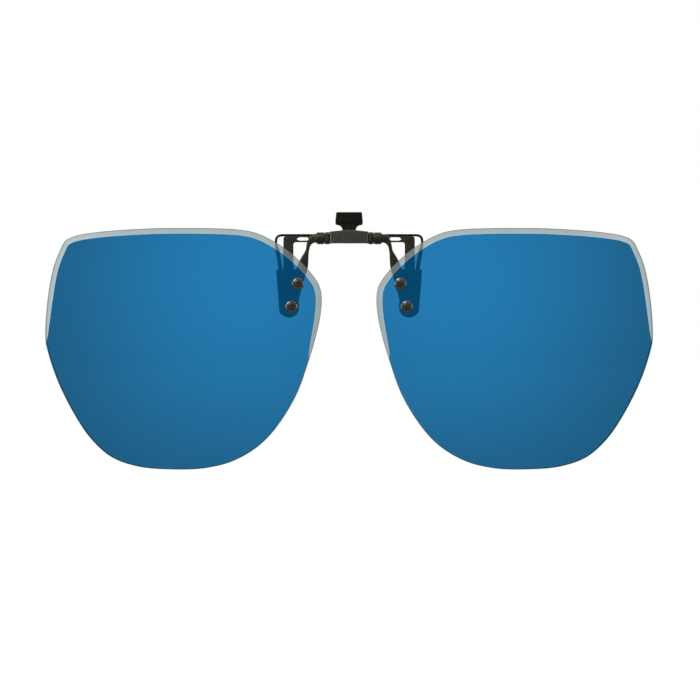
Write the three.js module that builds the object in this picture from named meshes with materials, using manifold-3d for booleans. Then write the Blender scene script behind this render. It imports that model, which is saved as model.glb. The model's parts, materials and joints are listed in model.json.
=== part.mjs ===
// Rimless clip-on flip lenses: two mirrored lenses hung on a spring clip that grips a pair of spectacles.
//
// Millimetres, +Z up. X runs across the face, with the wearer's left at +X. The lenses face -Y and the wearer
// is at +Y. Every dimension below is measured from the middle of the flip hinge's axle, and the finished
// group is shifted so that its origin is the grip point, midway between the front pads and the rear sleeves.

import * as THREE from 'three';
import { mergeVertices } from 'three/addons/utils/BufferGeometryUtils.js';
import Module from 'manifold-3d';

const wasm = await Module();
wasm.setup();

// ---------------------------------------------------------------- driving dimensions

const LENS = {
  centre: { x: 36, z: -24 },
  curveRadius: 200,
  thickness: 2,
  facetWidth: 1.33,
  facetDepth: 0.9,
  edgeBreak: 0.12,
  outlineSteps: 96,
  // The facet fades out between these heights, on the nose side and on the temple side.
  noseFade: { from: -11, to: -26 },
  templeFade: { from: -11, to: -22.5 },
};

// The lens outline, clockwise from the nose: nose corner, inner slope, top, temple, lower curve.
const LENS_OUTLINE = [
  [5.95, -13.2], [6.35, -10.7], [7.6, -8.5], [11.7, -4.1], [16.1, -0.9], [20.2, 1.05], [23.9, 1.75],
  [30, 2.05], [37, 2.1], [43.4, 2.0], [55.2, 1.2], [59.8, 0.4], [61.8, -0.6], [63, -2.8], [64.35, -6.4],
  [65.6, -13.6], [66, -20.9], [65.75, -23.2], [63.3, -30.9], [58.9, -39.5], [55.6, -44.1], [51.4, -47.7],
  [45.6, -49.7], [38, -50.3], [31.1, -50], [24.7, -48.3], [18.2, -44], [12, -35.3], [8.7, -26.6],
  [6.4, -17.9],
];

const SCREW = {
  upper: { x: 11.3, z: -10.15 },
  lower: { x: 12.7, z: -15.15 },
  shankRadius: 0.6,
  headRadius: 0.88,
  headHeight: 0.6,
  headRim: 0.27,
  driveSlot: { width: 0.3, depth: 0.22 },
  washerRadius: 1.35,
  washerThickness: 0.25,
  nutRadius: 1.2,
  nutHeight: 0.85,
  holeRadius: 0.78,
  nutBore: 0.7,
  tail: 0.1,
};

// How far behind or before the axle the lens's rear surface lies at its seat on the arm.
const SEAT_Y = -1.25;

// The gap between metal pieces that meet, and how loose a moulded piece is on what it covers.
const FIT_GAP = 0.07;
const PLAY = 0.1;

const TONGUE = { halfWidth: 1.25, thickness: 0.8, top: 4.9, bottom: 3.9, gap: 0.12 };

const AXLE = { radius: 0.42, halfLength: 6.8, bore: 0.55 };

// The arm's neck, from the knuckle to the tongue: its middle, and half its size across and through.
const ARM_NECK = [
  { at: [7.2, 0, 0], half: [0.93, 0.6] },
  { at: [8, 0, -0.3], half: [0.85, 0.55] },
  { at: [8.75, -0.02, -1.25], half: [0.5, 0.5] },
  { at: [9.12, -0.05, -2.7], half: [0.4, 0.45] },
  { at: [9.6, -0.1, -4.3], half: [0.78, 0.4] },
  { at: [10.1, -0.12, -6.1], half: [1.15, 0.38] },
  { at: [10.7, -0.2, -8], half: [1.2, 0.36] },
];
const ARM_NECK_RINGS = 18;

const KNUCKLE = {
  start: 5.5,
  shoulder: 6.95,
  neck: 7.15,
  end: 7.5,
  blind: 6.95,
  radius: 1.32,
  neckRadius: 0.95,
};

const SADDLE = {
  halfWidth: 4.2,
  bottom: -1.2,
  top: 1.42,
  front: -1.45,
  sheet: 0.4,
  earRear: 1.35,
  // The face rises from its top corners to this height at the foot of its neck.
  crown: 1.62,
  neckHalfWidth: 1.43,
  neckFoot: 1.95,
  neckShoulder: 1.85,
  neckTop: 2.05,
  tabHalfWidth: 1.1,
  tabTop: 4.8,
  flangeFrom: 2.6,
  flangeTop: 0.35,
  flangeBottom: -0.8,
};

const CAP = {
  top: 5.6,
  topHalfWidth: 2.8,
  skirt: 3.2,
  skirtHalfWidth: 3,
  footHalfWidth: 1.5,
  foot: 1.95,
  thickness: 1.3,
  corner: 0.3,
  // The skirt's lower corners reach this far in from its side and this far below it.
  lip: 0.35,
  lipDrop: 0.1,
};

const COLLAR = { start: 4.27, length: 0.92, radius: 1.34, grooveRadius: 1.16, ribs: 14 };

const WAVE_WASHER = { start: 5.3, thickness: 0.1, radius: 1.2, wave: 0.04, waves: 3 };

const CLAW = {
  front: 1.5,
  sheet: 0.5,
  top: 0.5,
  bottom: -0.78,
  foot: 2.6,
  inner: 12.2,
  outer: 14.4,
  fillet: 0.6,
  slot: { from: 8.7, to: 11.5, top: 0.3, bottom: -0.42, point: 0.5 },
  shoulder: -5.5,
};

const PAD = {
  x: 13.15,
  z: -15.1,
  radius: 2.2,
  coreRadius: 1.4,
  top: -6.7,
  outer: 15.75,
  inner: 11.4,
  front: 1.05,
  depth: 1.4,
};

const RIVET = { x: 3.2, z: -0.22, shank: 0.24, bore: 0.3, head: 0.44, headHeight: 0.25 };

const LEVER = {
  cheekInner: 2,
  cheekOuter: 2.4,
  cheekRadius: 0.95,
  // A cheek's top edge leaves its round end at this angle, in degrees.
  topEdgeFrom: 72,
  // The heel meets the back of the saddle plate when the claws are closed, and stops them there.
  heel: { reach: 1.02, top: -0.4, bottom: -0.85 },
  webFront: 3,
  sheet: 0.4,
  webTop: 1.4,
  webBottom: -0.35,
  tabHalfWidth: 1.1,
  tabTop: 4.6,
};

// The wire runs straight across, turns down round a corner and then back to the sleeves.
const WIRE = {
  radius: 0.275,
  y: 2.55,
  z: 0.8,
  bore: 0.34,
  straightTo: 14.65,
  reach: 16.05,
  cornerDrop: 1.3,
  legDrop: 3.4,
  lean: 0.08,
  // The leg comes in line with the sleeve over this share of the sleeve's length.
  lead: 0.2,
  steps: 72,
};

const SLEEVE = {
  radius: 0.95,
  wall: 0.6,
  tip: 0.3,
  top: { x: 15.2, z: -6.7 },
  bottom: { x: 14.46, z: -16 },
  y: 5.5,
};

const SPRING = {
  coilRadius: 0.76,
  wireRadius: 0.16,
  turns: 5,
  stepsPerTurn: 14,
  steps: 90,
  halfLength: 1.6,
  frontLeg: 1.1,
  rearLeg: 2.6,
};

const GRIP_POINT = { y: (PAD.front + PAD.depth + SLEEVE.y - SLEEVE.radius) / 2, z: -12 };

// ---------------------------------------------------------------- materials

function finish(color, roughness, metalness) {
  return new THREE.MeshStandardMaterial({ color, roughness, metalness });
}

const MIRROR_BLUE = [0x257bb1, 0.12, 0.55];
const GUNMETAL = [0x3c3c34, 0.35, 0.9];
const OLIVE_STEEL = [0x2d2d20, 0.42, 0.85];
const BLACK_STEEL = [0x14150f, 0.4, 0.85];
const BLACK_PLASTIC = [0x16180c, 0.5, 0];
const SOFT_BLACK = [0x14160f, 0.7, 0];
const SCREW_STEEL = [0x5a4f42, 0.35, 0.9];
const SPRING_STEEL = [0x8a8c8c, 0.3, 1];

// ---------------------------------------------------------------- solids

/** A closed three.js geometry as a manifold solid. */
function toSolid(geometry) {
  const bare = geometry.clone();
  bare.deleteAttribute('normal');
  bare.deleteAttribute('uv');
  const merged = mergeVertices(bare, 1e-4);
  const vertProperties = Float32Array.from(merged.attributes.position.array);
  const triVerts = Uint32Array.from(merged.index.array);
  return new wasm.Manifold(new wasm.Mesh({ numProp: 3, vertProperties, triVerts }));
}

/** A manifold solid as a three.js geometry. */
function toGeometry(solid) {
  const mesh = solid.getMesh();
  const geometry = new THREE.BufferGeometry();
  geometry.setAttribute('position', new THREE.BufferAttribute(mesh.vertProperties, 3));
  geometry.setIndex(new THREE.BufferAttribute(mesh.triVerts, 1));
  return geometry;
}

function join(...geometries) {
  return toGeometry(geometries.map(toSolid).reduce((whole, piece) => whole.add(piece)));
}

function cut(body, ...tools) {
  return toGeometry(tools.map(toSolid).reduce((whole, tool) => whole.subtract(tool), toSolid(body)));
}

/** A plate whose outline lies in the XZ plane, from y = front to y = front + thickness. */
function plateFacingY(shape, front, thickness, curveSegments = 8) {
  const plate = new THREE.ExtrudeGeometry(shape, { depth: thickness, bevelEnabled: false, curveSegments });
  return plate.rotateX(Math.PI / 2).translate(0, front + thickness, 0);
}

/** A plate whose outline lies in the YZ plane, from x = start to x = start + thickness. */
function plateFacingX(shape, start, thickness, curveSegments = 8) {
  const plate = new THREE.ExtrudeGeometry(shape, { depth: thickness, bevelEnabled: false, curveSegments });
  const axes = new THREE.Matrix4().makeBasis(
    new THREE.Vector3(0, 1, 0), new THREE.Vector3(0, 0, 1), new THREE.Vector3(1, 0, 0));
  return plate.applyMatrix4(axes).translate(start, 0, 0);
}

/** A solid of revolution about Y from [radius, height] pairs. */
function turnedAboutY(profile, segments = 20) {
  const points = profile.map(([radius, height]) => new THREE.Vector2(radius, height));
  return new THREE.LatheGeometry(points, segments);
}

/** The same, turned so that its heights run along X. */
function turnedAboutX(profile, segments = 20) {
  return turnedAboutY(profile, segments).rotateZ(-Math.PI / 2);
}

function rod(radius, from, to, segments = 20) {
  return turnedAboutY([[0, from], [radius, from], [radius, to], [0, to]], segments);
}

/** Points [radius, height] on a quarter ellipse, from the axis at base + rise out to the radius at base. */
function dome(radius, base, rise, steps = 4) {
  return Array.from({ length: steps + 1 }, (_, i) => {
    const angle = (i / steps) * (Math.PI / 2);
    return [radius * Math.sin(angle), base + rise * Math.cos(angle)];
  });
}

/** A closed skin over a run of rings that have the same number of points; each end closes on its middle. */
function skin(rings) {
  const count = rings[0].length;
  const middles = [rings[0], rings[rings.length - 1]].map((ring) => {
    const sum = ring.reduce((total, point) => total.add(point), new THREE.Vector3());
    return sum.divideScalar(count);
  });
  const points = [...rings.flat(), ...middles];
  const [firstMiddle, lastMiddle] = [points.length - 2, points.length - 1];
  const lastRing = (rings.length - 1) * count;
  const index = [];
  for (let i = 0; i < count; i += 1) {
    const next = (i + 1) % count;
    index.push(firstMiddle, next, i);
    index.push(lastMiddle, lastRing + i, lastRing + next);
    for (let ring = 0; ring < lastRing; ring += count) {
      index.push(ring + i, ring + next, ring + count + i);
      index.push(ring + next, ring + count + next, ring + count + i);
    }
  }
  const geometry = new THREE.BufferGeometry().setFromPoints(points);
  geometry.setIndex(index);
  return geometry;
}

/** A round wire along a path. */
function wireAlong(path, radius, steps, curveSegments) {
  const section = new THREE.Shape().absarc(0, 0, radius, 0, 2 * Math.PI);
  return new THREE.ExtrudeGeometry(section, { extrudePath: path, steps, curveSegments });
}

function roundHole(x, y, radius) {
  return new THREE.Path().absarc(x, y, radius, 0, 2 * Math.PI, true);
}

// ---------------------------------------------------------------- lenses

function lensRearY(x, z) {
  const fromCentre = Math.hypot(x - LENS.centre.x, z - LENS.centre.z);
  const sagitta = LENS.curveRadius - Math.sqrt(LENS.curveRadius ** 2 - fromCentre ** 2);
  return LENS_VERTEX_Y + sagitta;
}

const SEAT = { x: (SCREW.upper.x + SCREW.lower.x) / 2, z: (SCREW.upper.z + SCREW.lower.z) / 2 };
const SEAT_SPAN = Math.hypot(SEAT.x - LENS.centre.x, SEAT.z - LENS.centre.z);
const LENS_VERTEX_Y = SEAT_Y - LENS.curveRadius + Math.sqrt(LENS.curveRadius ** 2 - SEAT_SPAN ** 2);

/** How wide the facet is at a point of the outline. */
function facetWidthAt(point) {
  const fade = point.x < LENS.centre.x ? LENS.noseFade : LENS.templeFade;
  const faded = THREE.MathUtils.clamp((fade.from - point.z) / (fade.from - fade.to), 0, 1);
  return LENS.edgeBreak + (LENS.facetWidth - LENS.edgeBreak) * Math.sqrt(1 - faded ** 2);
}

/** The lens before its screw holes: rear surface, edge, facet and front surface. */
function lensBlank() {
  const outline = new THREE.CatmullRomCurve3(
    LENS_OUTLINE.map(([x, z]) => new THREE.Vector3(x, 0, z)), true, 'centripetal');
  const steps = LENS.outlineSteps;
  const rim = Array.from({ length: steps }, (_, i) => outline.getPointAt(i / steps));
  const facet = rim.map((point, i) => {
    const along = outline.getTangentAt(i / steps);
    const inward = new THREE.Vector3(along.z, 0, -along.x);
    return point.clone().addScaledVector(inward, facetWidthAt(point));
  });
  const middle = new THREE.Vector3(LENS.centre.x, 0, LENS.centre.z);
  const onRear = (point) => point.clone().setY(lensRearY(point.x, point.z));
  const onFront = (point) => onRear(point).add(new THREE.Vector3(0, -LENS.thickness, 0));
  const shrunk = (ring, share) => ring.map((point) => middle.clone().lerp(point, share));
  const shares = [0.12, 0.4, 0.7];
  const rimFront = rim.map((point) => {
    const depth = LENS.facetDepth * facetWidthAt(point) / LENS.facetWidth;
    return onFront(point).add(new THREE.Vector3(0, depth, 0));
  });
  return skin([
    ...shares.map((share) => shrunk(facet, share).map(onFront)),
    facet.map(onFront),
    rimFront,
    rim.map(onRear),
    ...shares.toReversed().map((share) => shrunk(rim, share).map(onRear)),
  ]);
}

/** Turns +Y to the lens's own direction where the arm is seated, with the origin on its rear surface. */
function seatMatrix() {
  const towardsWearer = new THREE.Vector3(
    LENS.centre.x - SEAT.x, LENS_VERTEX_Y + LENS.curveRadius - SEAT_Y, LENS.centre.z - SEAT.z).normalize();
  const turn = new THREE.Quaternion().setFromUnitVectors(new THREE.Vector3(0, 1, 0), towardsWearer);
  const place = new THREE.Vector3(SEAT.x, SEAT_Y, SEAT.z);
  return new THREE.Matrix4().compose(place, turn, new THREE.Vector3(1, 1, 1));
}

/** The two screw places, as offsets from the seat. */
const SCREW_OFFSETS = {
  upper: new THREE.Vector3(SCREW.upper.x - SEAT.x, 0, SCREW.upper.z - SEAT.z),
  lower: new THREE.Vector3(SCREW.lower.x - SEAT.x, 0, SCREW.lower.z - SEAT.z),
};

/** A tool that drills both screw holes square to the lens. */
function screwDrills(radius) {
  const reach = 2 * LENS.thickness;
  return Object.values(SCREW_OFFSETS).map((offset) => (
    rod(radius, -reach, reach).translate(offset.x, 0, offset.z).applyMatrix4(seatMatrix())));
}

function lens() {
  return cut(lensBlank(), ...screwDrills(SCREW.holeRadius));
}

// ---------------------------------------------------------------- lens arms and their fasteners

/** The hinge knuckle: a barrel with a blind bore for the axle and a stepped outer end. */
function knuckle() {
  const { start, shoulder, neck, end, blind, radius, neckRadius } = KNUCKLE;
  return turnedAboutX([
    [0, blind], [AXLE.bore, blind], [AXLE.bore, start], [radius, start],
    [radius, shoulder], [neckRadius, neck], [neckRadius, end], [0, end],
  ], 24);
}

/** The arm's neck: a flattened rod from the knuckle, down and forward to the tongue. */
function armNeck() {
  const path = new THREE.CatmullRomCurve3(ARM_NECK.map(({ at }) => new THREE.Vector3(...at)));
  const size = new THREE.SplineCurve(ARM_NECK.map(({ half }) => new THREE.Vector2(...half)));
  const steps = ARM_NECK_RINGS;
  const corners = [[1, 0.5], [0.7, 1], [-0.7, 1], [-1, 0.5], [-1, -0.5], [-0.7, -1], [0.7, -1], [1, -0.5]];
  const rings = [];
  for (let i = 0; i <= steps; i += 1) {
    const along = path.getTangent(i / steps);
    const across = new THREE.Vector3(along.z, 0, -along.x).normalize();
    const centre = path.getPoint(i / steps);
    const half = size.getPoint(i / steps);
    rings.push(corners.map(([u, v]) => (
      centre.clone().addScaledVector(across, u * half.x).add(new THREE.Vector3(0, v * half.y, 0)))));
  }
  return skin(rings);
}

/** The tongue: a flat strip along the line of the two screws, with a round lower end. */
function tongue() {
  const { halfWidth, thickness, top, bottom, gap } = TONGUE;
  const strip = new THREE.Shape();
  strip.moveTo(halfWidth, top);
  strip.lineTo(-halfWidth, top);
  strip.absarc(0, halfWidth - bottom, halfWidth, Math.PI, 2 * Math.PI);
  const lean = Math.atan2(SCREW_OFFSETS.lower.x, -SCREW_OFFSETS.lower.z);
  return plateFacingY(strip, gap, thickness).rotateY(-lean).applyMatrix4(seatMatrix());
}

function lensArm() {
  return cut(join(knuckle(), armNeck(), tongue()), ...screwDrills(SCREW.holeRadius));
}

/** A pan-headed screw with a straight drive slot, its head towards -Y. */
function screw() {
  const under = -LENS.thickness - SCREW.washerThickness - 2 * FIT_GAP;
  const end = TONGUE.gap + TONGUE.thickness + SCREW.nutHeight + FIT_GAP + SCREW.tail;
  const { headRadius, headHeight, headRim, shankRadius, driveSlot } = SCREW;
  const body = turnedAboutY([
    ...dome(headRadius, under - headRim, headRim - headHeight),
    [headRadius, under], [shankRadius, under], [shankRadius, end], [0, end],
  ]);
  const slot = new THREE.BoxGeometry(4 * headRadius, 2 * driveSlot.depth, driveSlot.width);
  return cut(body, slot.translate(0, under - headHeight, 0));
}

function screwWasher() {
  const front = -LENS.thickness - FIT_GAP - SCREW.washerThickness;
  return ring(SCREW.washerRadius, SCREW.nutBore, front, front + SCREW.washerThickness, 24);
}

function screwNut() {
  const rear = TONGUE.gap + TONGUE.thickness + FIT_GAP;
  return ring(SCREW.nutRadius, SCREW.nutBore, rear, rear + SCREW.nutHeight, 6);
}

/** A ring about Y with a round bore; its outside has as many flats as segments. */
function ring(outer, inner, from, to, flats) {
  const past = to - from;
  return cut(rod(outer, from, to, flats), rod(inner, from - past, to + past));
}

// ---------------------------------------------------------------- hinge

function axlePin() {
  const { radius, halfLength } = AXLE;
  return turnedAboutX([[0, -halfLength], [radius, -halfLength], [radius, halfLength], [0, halfLength]]);
}

/** A collar with ribs along the axle, which the knuckle clicks against. */
function detentCollar() {
  const outline = new THREE.Shape();
  for (let i = 0; i < 4 * COLLAR.ribs; i += 1) {
    const onRib = i % 4 < 2;
    const radius = onRib ? COLLAR.radius : COLLAR.grooveRadius;
    const angle = (i / (4 * COLLAR.ribs)) * 2 * Math.PI;
    outline[i === 0 ? 'moveTo' : 'lineTo'](radius * Math.cos(angle), radius * Math.sin(angle));
  }
  outline.holes.push(roundHole(0, 0, AXLE.bore));
  return plateFacingX(outline, COLLAR.start, COLLAR.length);
}

/** A thin spring washer, waved along its rim. */
function waveWasher() {
  const outline = new THREE.Shape().absarc(0, 0, WAVE_WASHER.radius, 0, 2 * Math.PI);
  outline.holes.push(roundHole(0, 0, AXLE.bore));
  const washer = plateFacingX(outline, WAVE_WASHER.start, WAVE_WASHER.thickness, 12);
  const places = washer.attributes.position;
  for (let i = 0; i < places.count; i += 1) {
    const angle = Math.atan2(places.getZ(i), places.getY(i));
    places.setX(i, places.getX(i) + WAVE_WASHER.wave * Math.cos(WAVE_WASHER.waves * angle));
  }
  return washer;
}

/** The torsion spring: a front leg behind the saddle, the coil round the axle and a rear leg to the lever. */
function torsionSpring() {
  const { coilRadius, wireRadius, turns, stepsPerTurn, steps, halfLength, frontLeg, rearLeg } = SPRING;
  const exitAngle = -Math.PI / 4;
  const startAngle = Math.PI;
  const sweep = exitAngle + 2 * Math.PI - startAngle + turns * 2 * Math.PI;
  const coilSteps = stepsPerTurn * turns;
  const points = [new THREE.Vector3(-halfLength, -coilRadius, frontLeg)];
  for (let i = 0; i <= coilSteps; i += 1) {
    const angle = startAngle + (sweep * i) / coilSteps;
    const x = -halfLength + (2 * halfLength * i) / coilSteps;
    points.push(new THREE.Vector3(x, coilRadius * Math.cos(angle), coilRadius * Math.sin(angle)));
  }
  const rise = rearLeg * Math.SQRT1_2;
  points.push(points[points.length - 1].clone().add(new THREE.Vector3(0, rise, rise)));
  const path = new THREE.CatmullRomCurve3(points, false, 'centripetal');
  return wireAlong(path, wireRadius, steps, 3);
}

// ---------------------------------------------------------------- front half of the clip

/** The saddle plate's face: a low rectangle whose neck rises to a tab under the thumb cap. */
function saddleOutline() {
  const { halfWidth, bottom, top, crown, tabHalfWidth, tabTop } = SADDLE;
  const { neckHalfWidth, neckFoot, neckShoulder, neckTop } = SADDLE;
  const shape = new THREE.Shape();
  shape.moveTo(-halfWidth, bottom);
  shape.lineTo(halfWidth, bottom);
  shape.lineTo(halfWidth, top);
  shape.lineTo(neckFoot, crown);
  shape.quadraticCurveTo(neckHalfWidth, crown, neckHalfWidth, neckShoulder);
  shape.lineTo(tabHalfWidth, neckTop);
  shape.lineTo(tabHalfWidth, tabTop);
  shape.lineTo(-tabHalfWidth, tabTop);
  shape.lineTo(-tabHalfWidth, neckTop);
  shape.lineTo(-neckHalfWidth, neckShoulder);
  shape.quadraticCurveTo(-neckHalfWidth, crown, -neckFoot, crown);
  shape.lineTo(-halfWidth, top);
  return shape;
}

/** A side ear of the saddle, folded back round the axle. */
function saddleEar() {
  const { front, sheet, bottom, top, earRear, flangeTop, flangeBottom } = SADDLE;
  const shape = new THREE.Shape();
  shape.moveTo(front + sheet / 2, bottom);
  shape.lineTo(0, bottom);
  shape.lineTo(earRear, flangeBottom);
  shape.lineTo(earRear, flangeTop);
  shape.lineTo(0, top);
  shape.lineTo(front + sheet / 2, top);
  shape.holes.push(roundHole(0, 0, AXLE.bore));
  return plateFacingX(shape, SADDLE.halfWidth - sheet, sheet, 10);
}

/** The flange at the back of an ear, with the rivet's hole. */
function saddleFlange() {
  const { halfWidth, sheet, flangeFrom, flangeTop, flangeBottom, earRear } = SADDLE;
  const shape = new THREE.Shape();
  shape.moveTo(flangeFrom, flangeBottom);
  shape.lineTo(halfWidth, flangeBottom);
  shape.lineTo(halfWidth, flangeTop);
  shape.lineTo(flangeFrom, flangeTop);
  shape.holes.push(roundHole(RIVET.x, RIVET.z, RIVET.bore));
  return plateFacingY(shape, earRear - sheet, sheet);
}

function mirroredInX(geometry) {
  return toGeometry(toSolid(geometry).mirror([1, 0, 0]));
}

function saddlePlate() {
  const face = plateFacingY(saddleOutline(), SADDLE.front, SADDLE.sheet);
  const wing = join(saddleEar(), saddleFlange());
  return join(face, wing, mirroredInX(wing));
}

/** The outline of a thumb cap: a T with small round corners and a concave foot. */
function capOutline() {
  const { top, topHalfWidth, skirt, skirtHalfWidth, footHalfWidth, foot, corner, lip, lipDrop } = CAP;
  const shape = new THREE.Shape();
  shape.moveTo(footHalfWidth, foot);
  shape.quadraticCurveTo(footHalfWidth, skirt - lip, skirtHalfWidth - lip, skirt - lipDrop);
  shape.quadraticCurveTo(skirtHalfWidth, skirt - lipDrop / 2, skirtHalfWidth, skirt + 2 * lipDrop);
  shape.lineTo(topHalfWidth, top - corner);
  shape.quadraticCurveTo(topHalfWidth, top, topHalfWidth - corner, top);
  shape.lineTo(corner - topHalfWidth, top);
  shape.quadraticCurveTo(-topHalfWidth, top, -topHalfWidth, top - corner);
  shape.lineTo(-skirtHalfWidth, skirt + 2 * lipDrop);
  shape.quadraticCurveTo(-skirtHalfWidth, skirt - lipDrop / 2, lip - skirtHalfWidth, skirt - lipDrop);
  shape.quadraticCurveTo(-footHalfWidth, skirt - lip, -footHalfWidth, foot);
  return shape;
}

/** A thumb cap pushed over a metal tab; tabFront is the tab's front face. */
function thumbCap(tabFront, tabHalfWidth, tabTop) {
  const { sheet } = SADDLE;
  const block = plateFacingY(capOutline(), tabFront + (sheet - CAP.thickness) / 2, CAP.thickness);
  const pocketTop = tabTop + PLAY;
  const pocketHeight = 2 * (pocketTop - CAP.foot);
  const pocket = new THREE.BoxGeometry(2 * (tabHalfWidth + PLAY), sheet + 2 * PLAY, pocketHeight);
  return cut(block, pocket.translate(0, tabFront + sheet / 2, pocketTop - pocketHeight / 2));
}

function frontThumbCap() {
  return thumbCap(SADDLE.front, SADDLE.tabHalfWidth, SADDLE.tabTop);
}

/** The lower end of a claw or a pad: from the inner upper corner, round an arc, to the outer upper corner. */
function paddleOutline(shape, inner, outer, top, radius) {
  shape.lineTo(inner, top);
  shape.lineTo(PAD.x - radius, PAD.z);
  shape.absarc(PAD.x, PAD.z, radius, Math.PI, 2 * Math.PI);
  shape.lineTo(outer, top);
}

/** The front claw: a slotted arm behind the saddle and knuckle, and a leg that ends inside the soft pad. */
function frontClaw() {
  const { front, sheet, top, bottom, foot, inner, outer, fillet, slot, shoulder } = CLAW;
  const shape = new THREE.Shape();
  shape.moveTo(foot, top);
  shape.lineTo(foot, bottom);
  shape.lineTo(inner - fillet, bottom);
  shape.quadraticCurveTo(inner, bottom, inner, bottom - fillet);
  paddleOutline(shape, inner, outer, shoulder, PAD.coreRadius);
  shape.lineTo(outer, top - fillet);
  shape.quadraticCurveTo(outer, top, outer - fillet, top);
  shape.holes.push(roundHole(RIVET.x, RIVET.z, RIVET.bore), slotHole(slot));
  return plateFacingY(shape, front, sheet);
}

/** A slot with pointed ends. */
function slotHole({ from, to, top, bottom, point }) {
  const middle = (top + bottom) / 2;
  const hole = new THREE.Path();
  hole.moveTo(from, middle);
  hole.lineTo(from + point, top);
  hole.lineTo(to - point, top);
  hole.lineTo(to, middle);
  hole.lineTo(to - point, bottom);
  hole.lineTo(from + point, bottom);
  return hole;
}

/** The soft pad over the claw's end, open at the top. */
function frontPad() {
  const { top, outer, inner, radius, front, depth, coreRadius } = PAD;
  const outside = new THREE.Shape();
  outside.moveTo(outer, top);
  paddleOutline(outside, inner, outer, top, radius);
  const pocket = new THREE.Shape();
  pocket.moveTo(CLAW.outer + PLAY, CLAW.top);
  pocket.lineTo(CLAW.inner - PLAY, CLAW.top);
  paddleOutline(pocket, CLAW.inner - PLAY, CLAW.outer + PLAY, CLAW.shoulder, coreRadius + PLAY);
  return cut(
    plateFacingY(outside, front, depth),
    plateFacingY(pocket, CLAW.front - PLAY, CLAW.sheet + 2 * PLAY));
}

/** The rivet that holds a front claw to the saddle's flange. */
function clawRivet() {
  const frontHead = SADDLE.earRear - SADDLE.sheet - FIT_GAP;
  const rearHead = CLAW.front + CLAW.sheet + FIT_GAP;
  const { shank, head, headHeight } = RIVET;
  return turnedAboutY([
    [0, frontHead - headHeight], [head, frontHead - headHeight], [head, frontHead], [shank, frontHead],
    [shank, rearHead], [head, rearHead], [head, rearHead + headHeight], [0, rearHead + headHeight],
  ], 16).translate(RIVET.x, 0, RIVET.z);
}

// ---------------------------------------------------------------- rear half of the clip

/** A cheek of the lever: round over the axle, with the heel before it and the claw wire's hole behind it. */
function leverCheek() {
  const { cheekInner, cheekOuter, cheekRadius, topEdgeFrom, heel } = LEVER;
  const { webFront, sheet, webTop, webBottom } = LEVER;
  const shape = new THREE.Shape();
  shape.absarc(0, 0, cheekRadius, THREE.MathUtils.degToRad(topEdgeFrom), Math.PI);
  shape.lineTo(-heel.reach, heel.top);
  shape.lineTo(-heel.reach, heel.bottom);
  shape.lineTo(0, -cheekRadius);
  shape.lineTo(webFront + sheet, webBottom);
  shape.lineTo(webFront + sheet, webTop);
  shape.holes.push(roundHole(0, 0, AXLE.bore), roundHole(WIRE.y, WIRE.z, WIRE.bore));
  return plateFacingX(shape, cheekInner, cheekOuter - cheekInner, 12);
}

/** The lever's web, with the tab that carries the thumb pad. */
function leverWeb() {
  const { cheekOuter, webFront, sheet, webTop, webBottom, tabHalfWidth, tabTop } = LEVER;
  const shape = new THREE.Shape();
  shape.moveTo(-cheekOuter, webBottom);
  shape.lineTo(cheekOuter, webBottom);
  shape.lineTo(cheekOuter, webTop);
  shape.lineTo(tabHalfWidth, webTop);
  shape.lineTo(tabHalfWidth, tabTop);
  shape.lineTo(-tabHalfWidth, tabTop);
  shape.lineTo(-tabHalfWidth, webTop);
  shape.lineTo(-cheekOuter, webTop);
  return plateFacingY(shape, webFront, sheet);
}

function rearLever() {
  return join(leverWeb(), leverCheek(), mirroredInX(leverCheek()));
}

function rearThumbPad() {
  return thumbCap(LEVER.webFront, LEVER.tabHalfWidth, LEVER.tabTop);
}

/** Half of the rear claw wire's route, from the middle outwards. */
function wireHalf(side) {
  const at = (x, y, z) => new THREE.Vector3(side * x, y, z);
  const bend = at(WIRE.straightTo, WIRE.y, WIRE.z);
  const corner = at(WIRE.reach, WIRE.y, WIRE.z);
  const downwards = new THREE.Vector3(0, WIRE.lean, -1);
  const afterCorner = corner.clone().addScaledVector(downwards, WIRE.cornerDrop);
  const lowerLeg = corner.clone().addScaledVector(downwards, WIRE.legDrop);
  const sleeveTop = at(SLEEVE.top.x, SLEEVE.y, SLEEVE.top.z);
  const sleeveEnd = at(SLEEVE.bottom.x, SLEEVE.y, SLEEVE.bottom.z);
  const aboveSleeve = sleeveTop.clone().lerp(sleeveEnd, -WIRE.lead);
  return [
    new THREE.LineCurve3(at(0, WIRE.y, WIRE.z), bend),
    new THREE.QuadraticBezierCurve3(bend, corner, afterCorner),
    new THREE.CubicBezierCurve3(afterCorner, lowerLeg, aboveSleeve, sleeveTop),
    new THREE.LineCurve3(sleeveTop, sleeveEnd),
  ];
}

function reversed(curve) {
  if (curve.isLineCurve3) return new THREE.LineCurve3(curve.v2, curve.v1);
  if (curve.isQuadraticBezierCurve3) return new THREE.QuadraticBezierCurve3(curve.v2, curve.v1, curve.v0);
  return new THREE.CubicBezierCurve3(curve.v3, curve.v2, curve.v1, curve.v0);
}

/** The rear claw wire, bent from one length that runs through both cheeks of the lever. */
function rearClawWire() {
  const route = new THREE.CurvePath();
  route.curves.push(...wireHalf(-1).toReversed().map(reversed), ...wireHalf(1));
  return wireAlong(route, WIRE.radius, WIRE.steps, 4);
}

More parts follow.
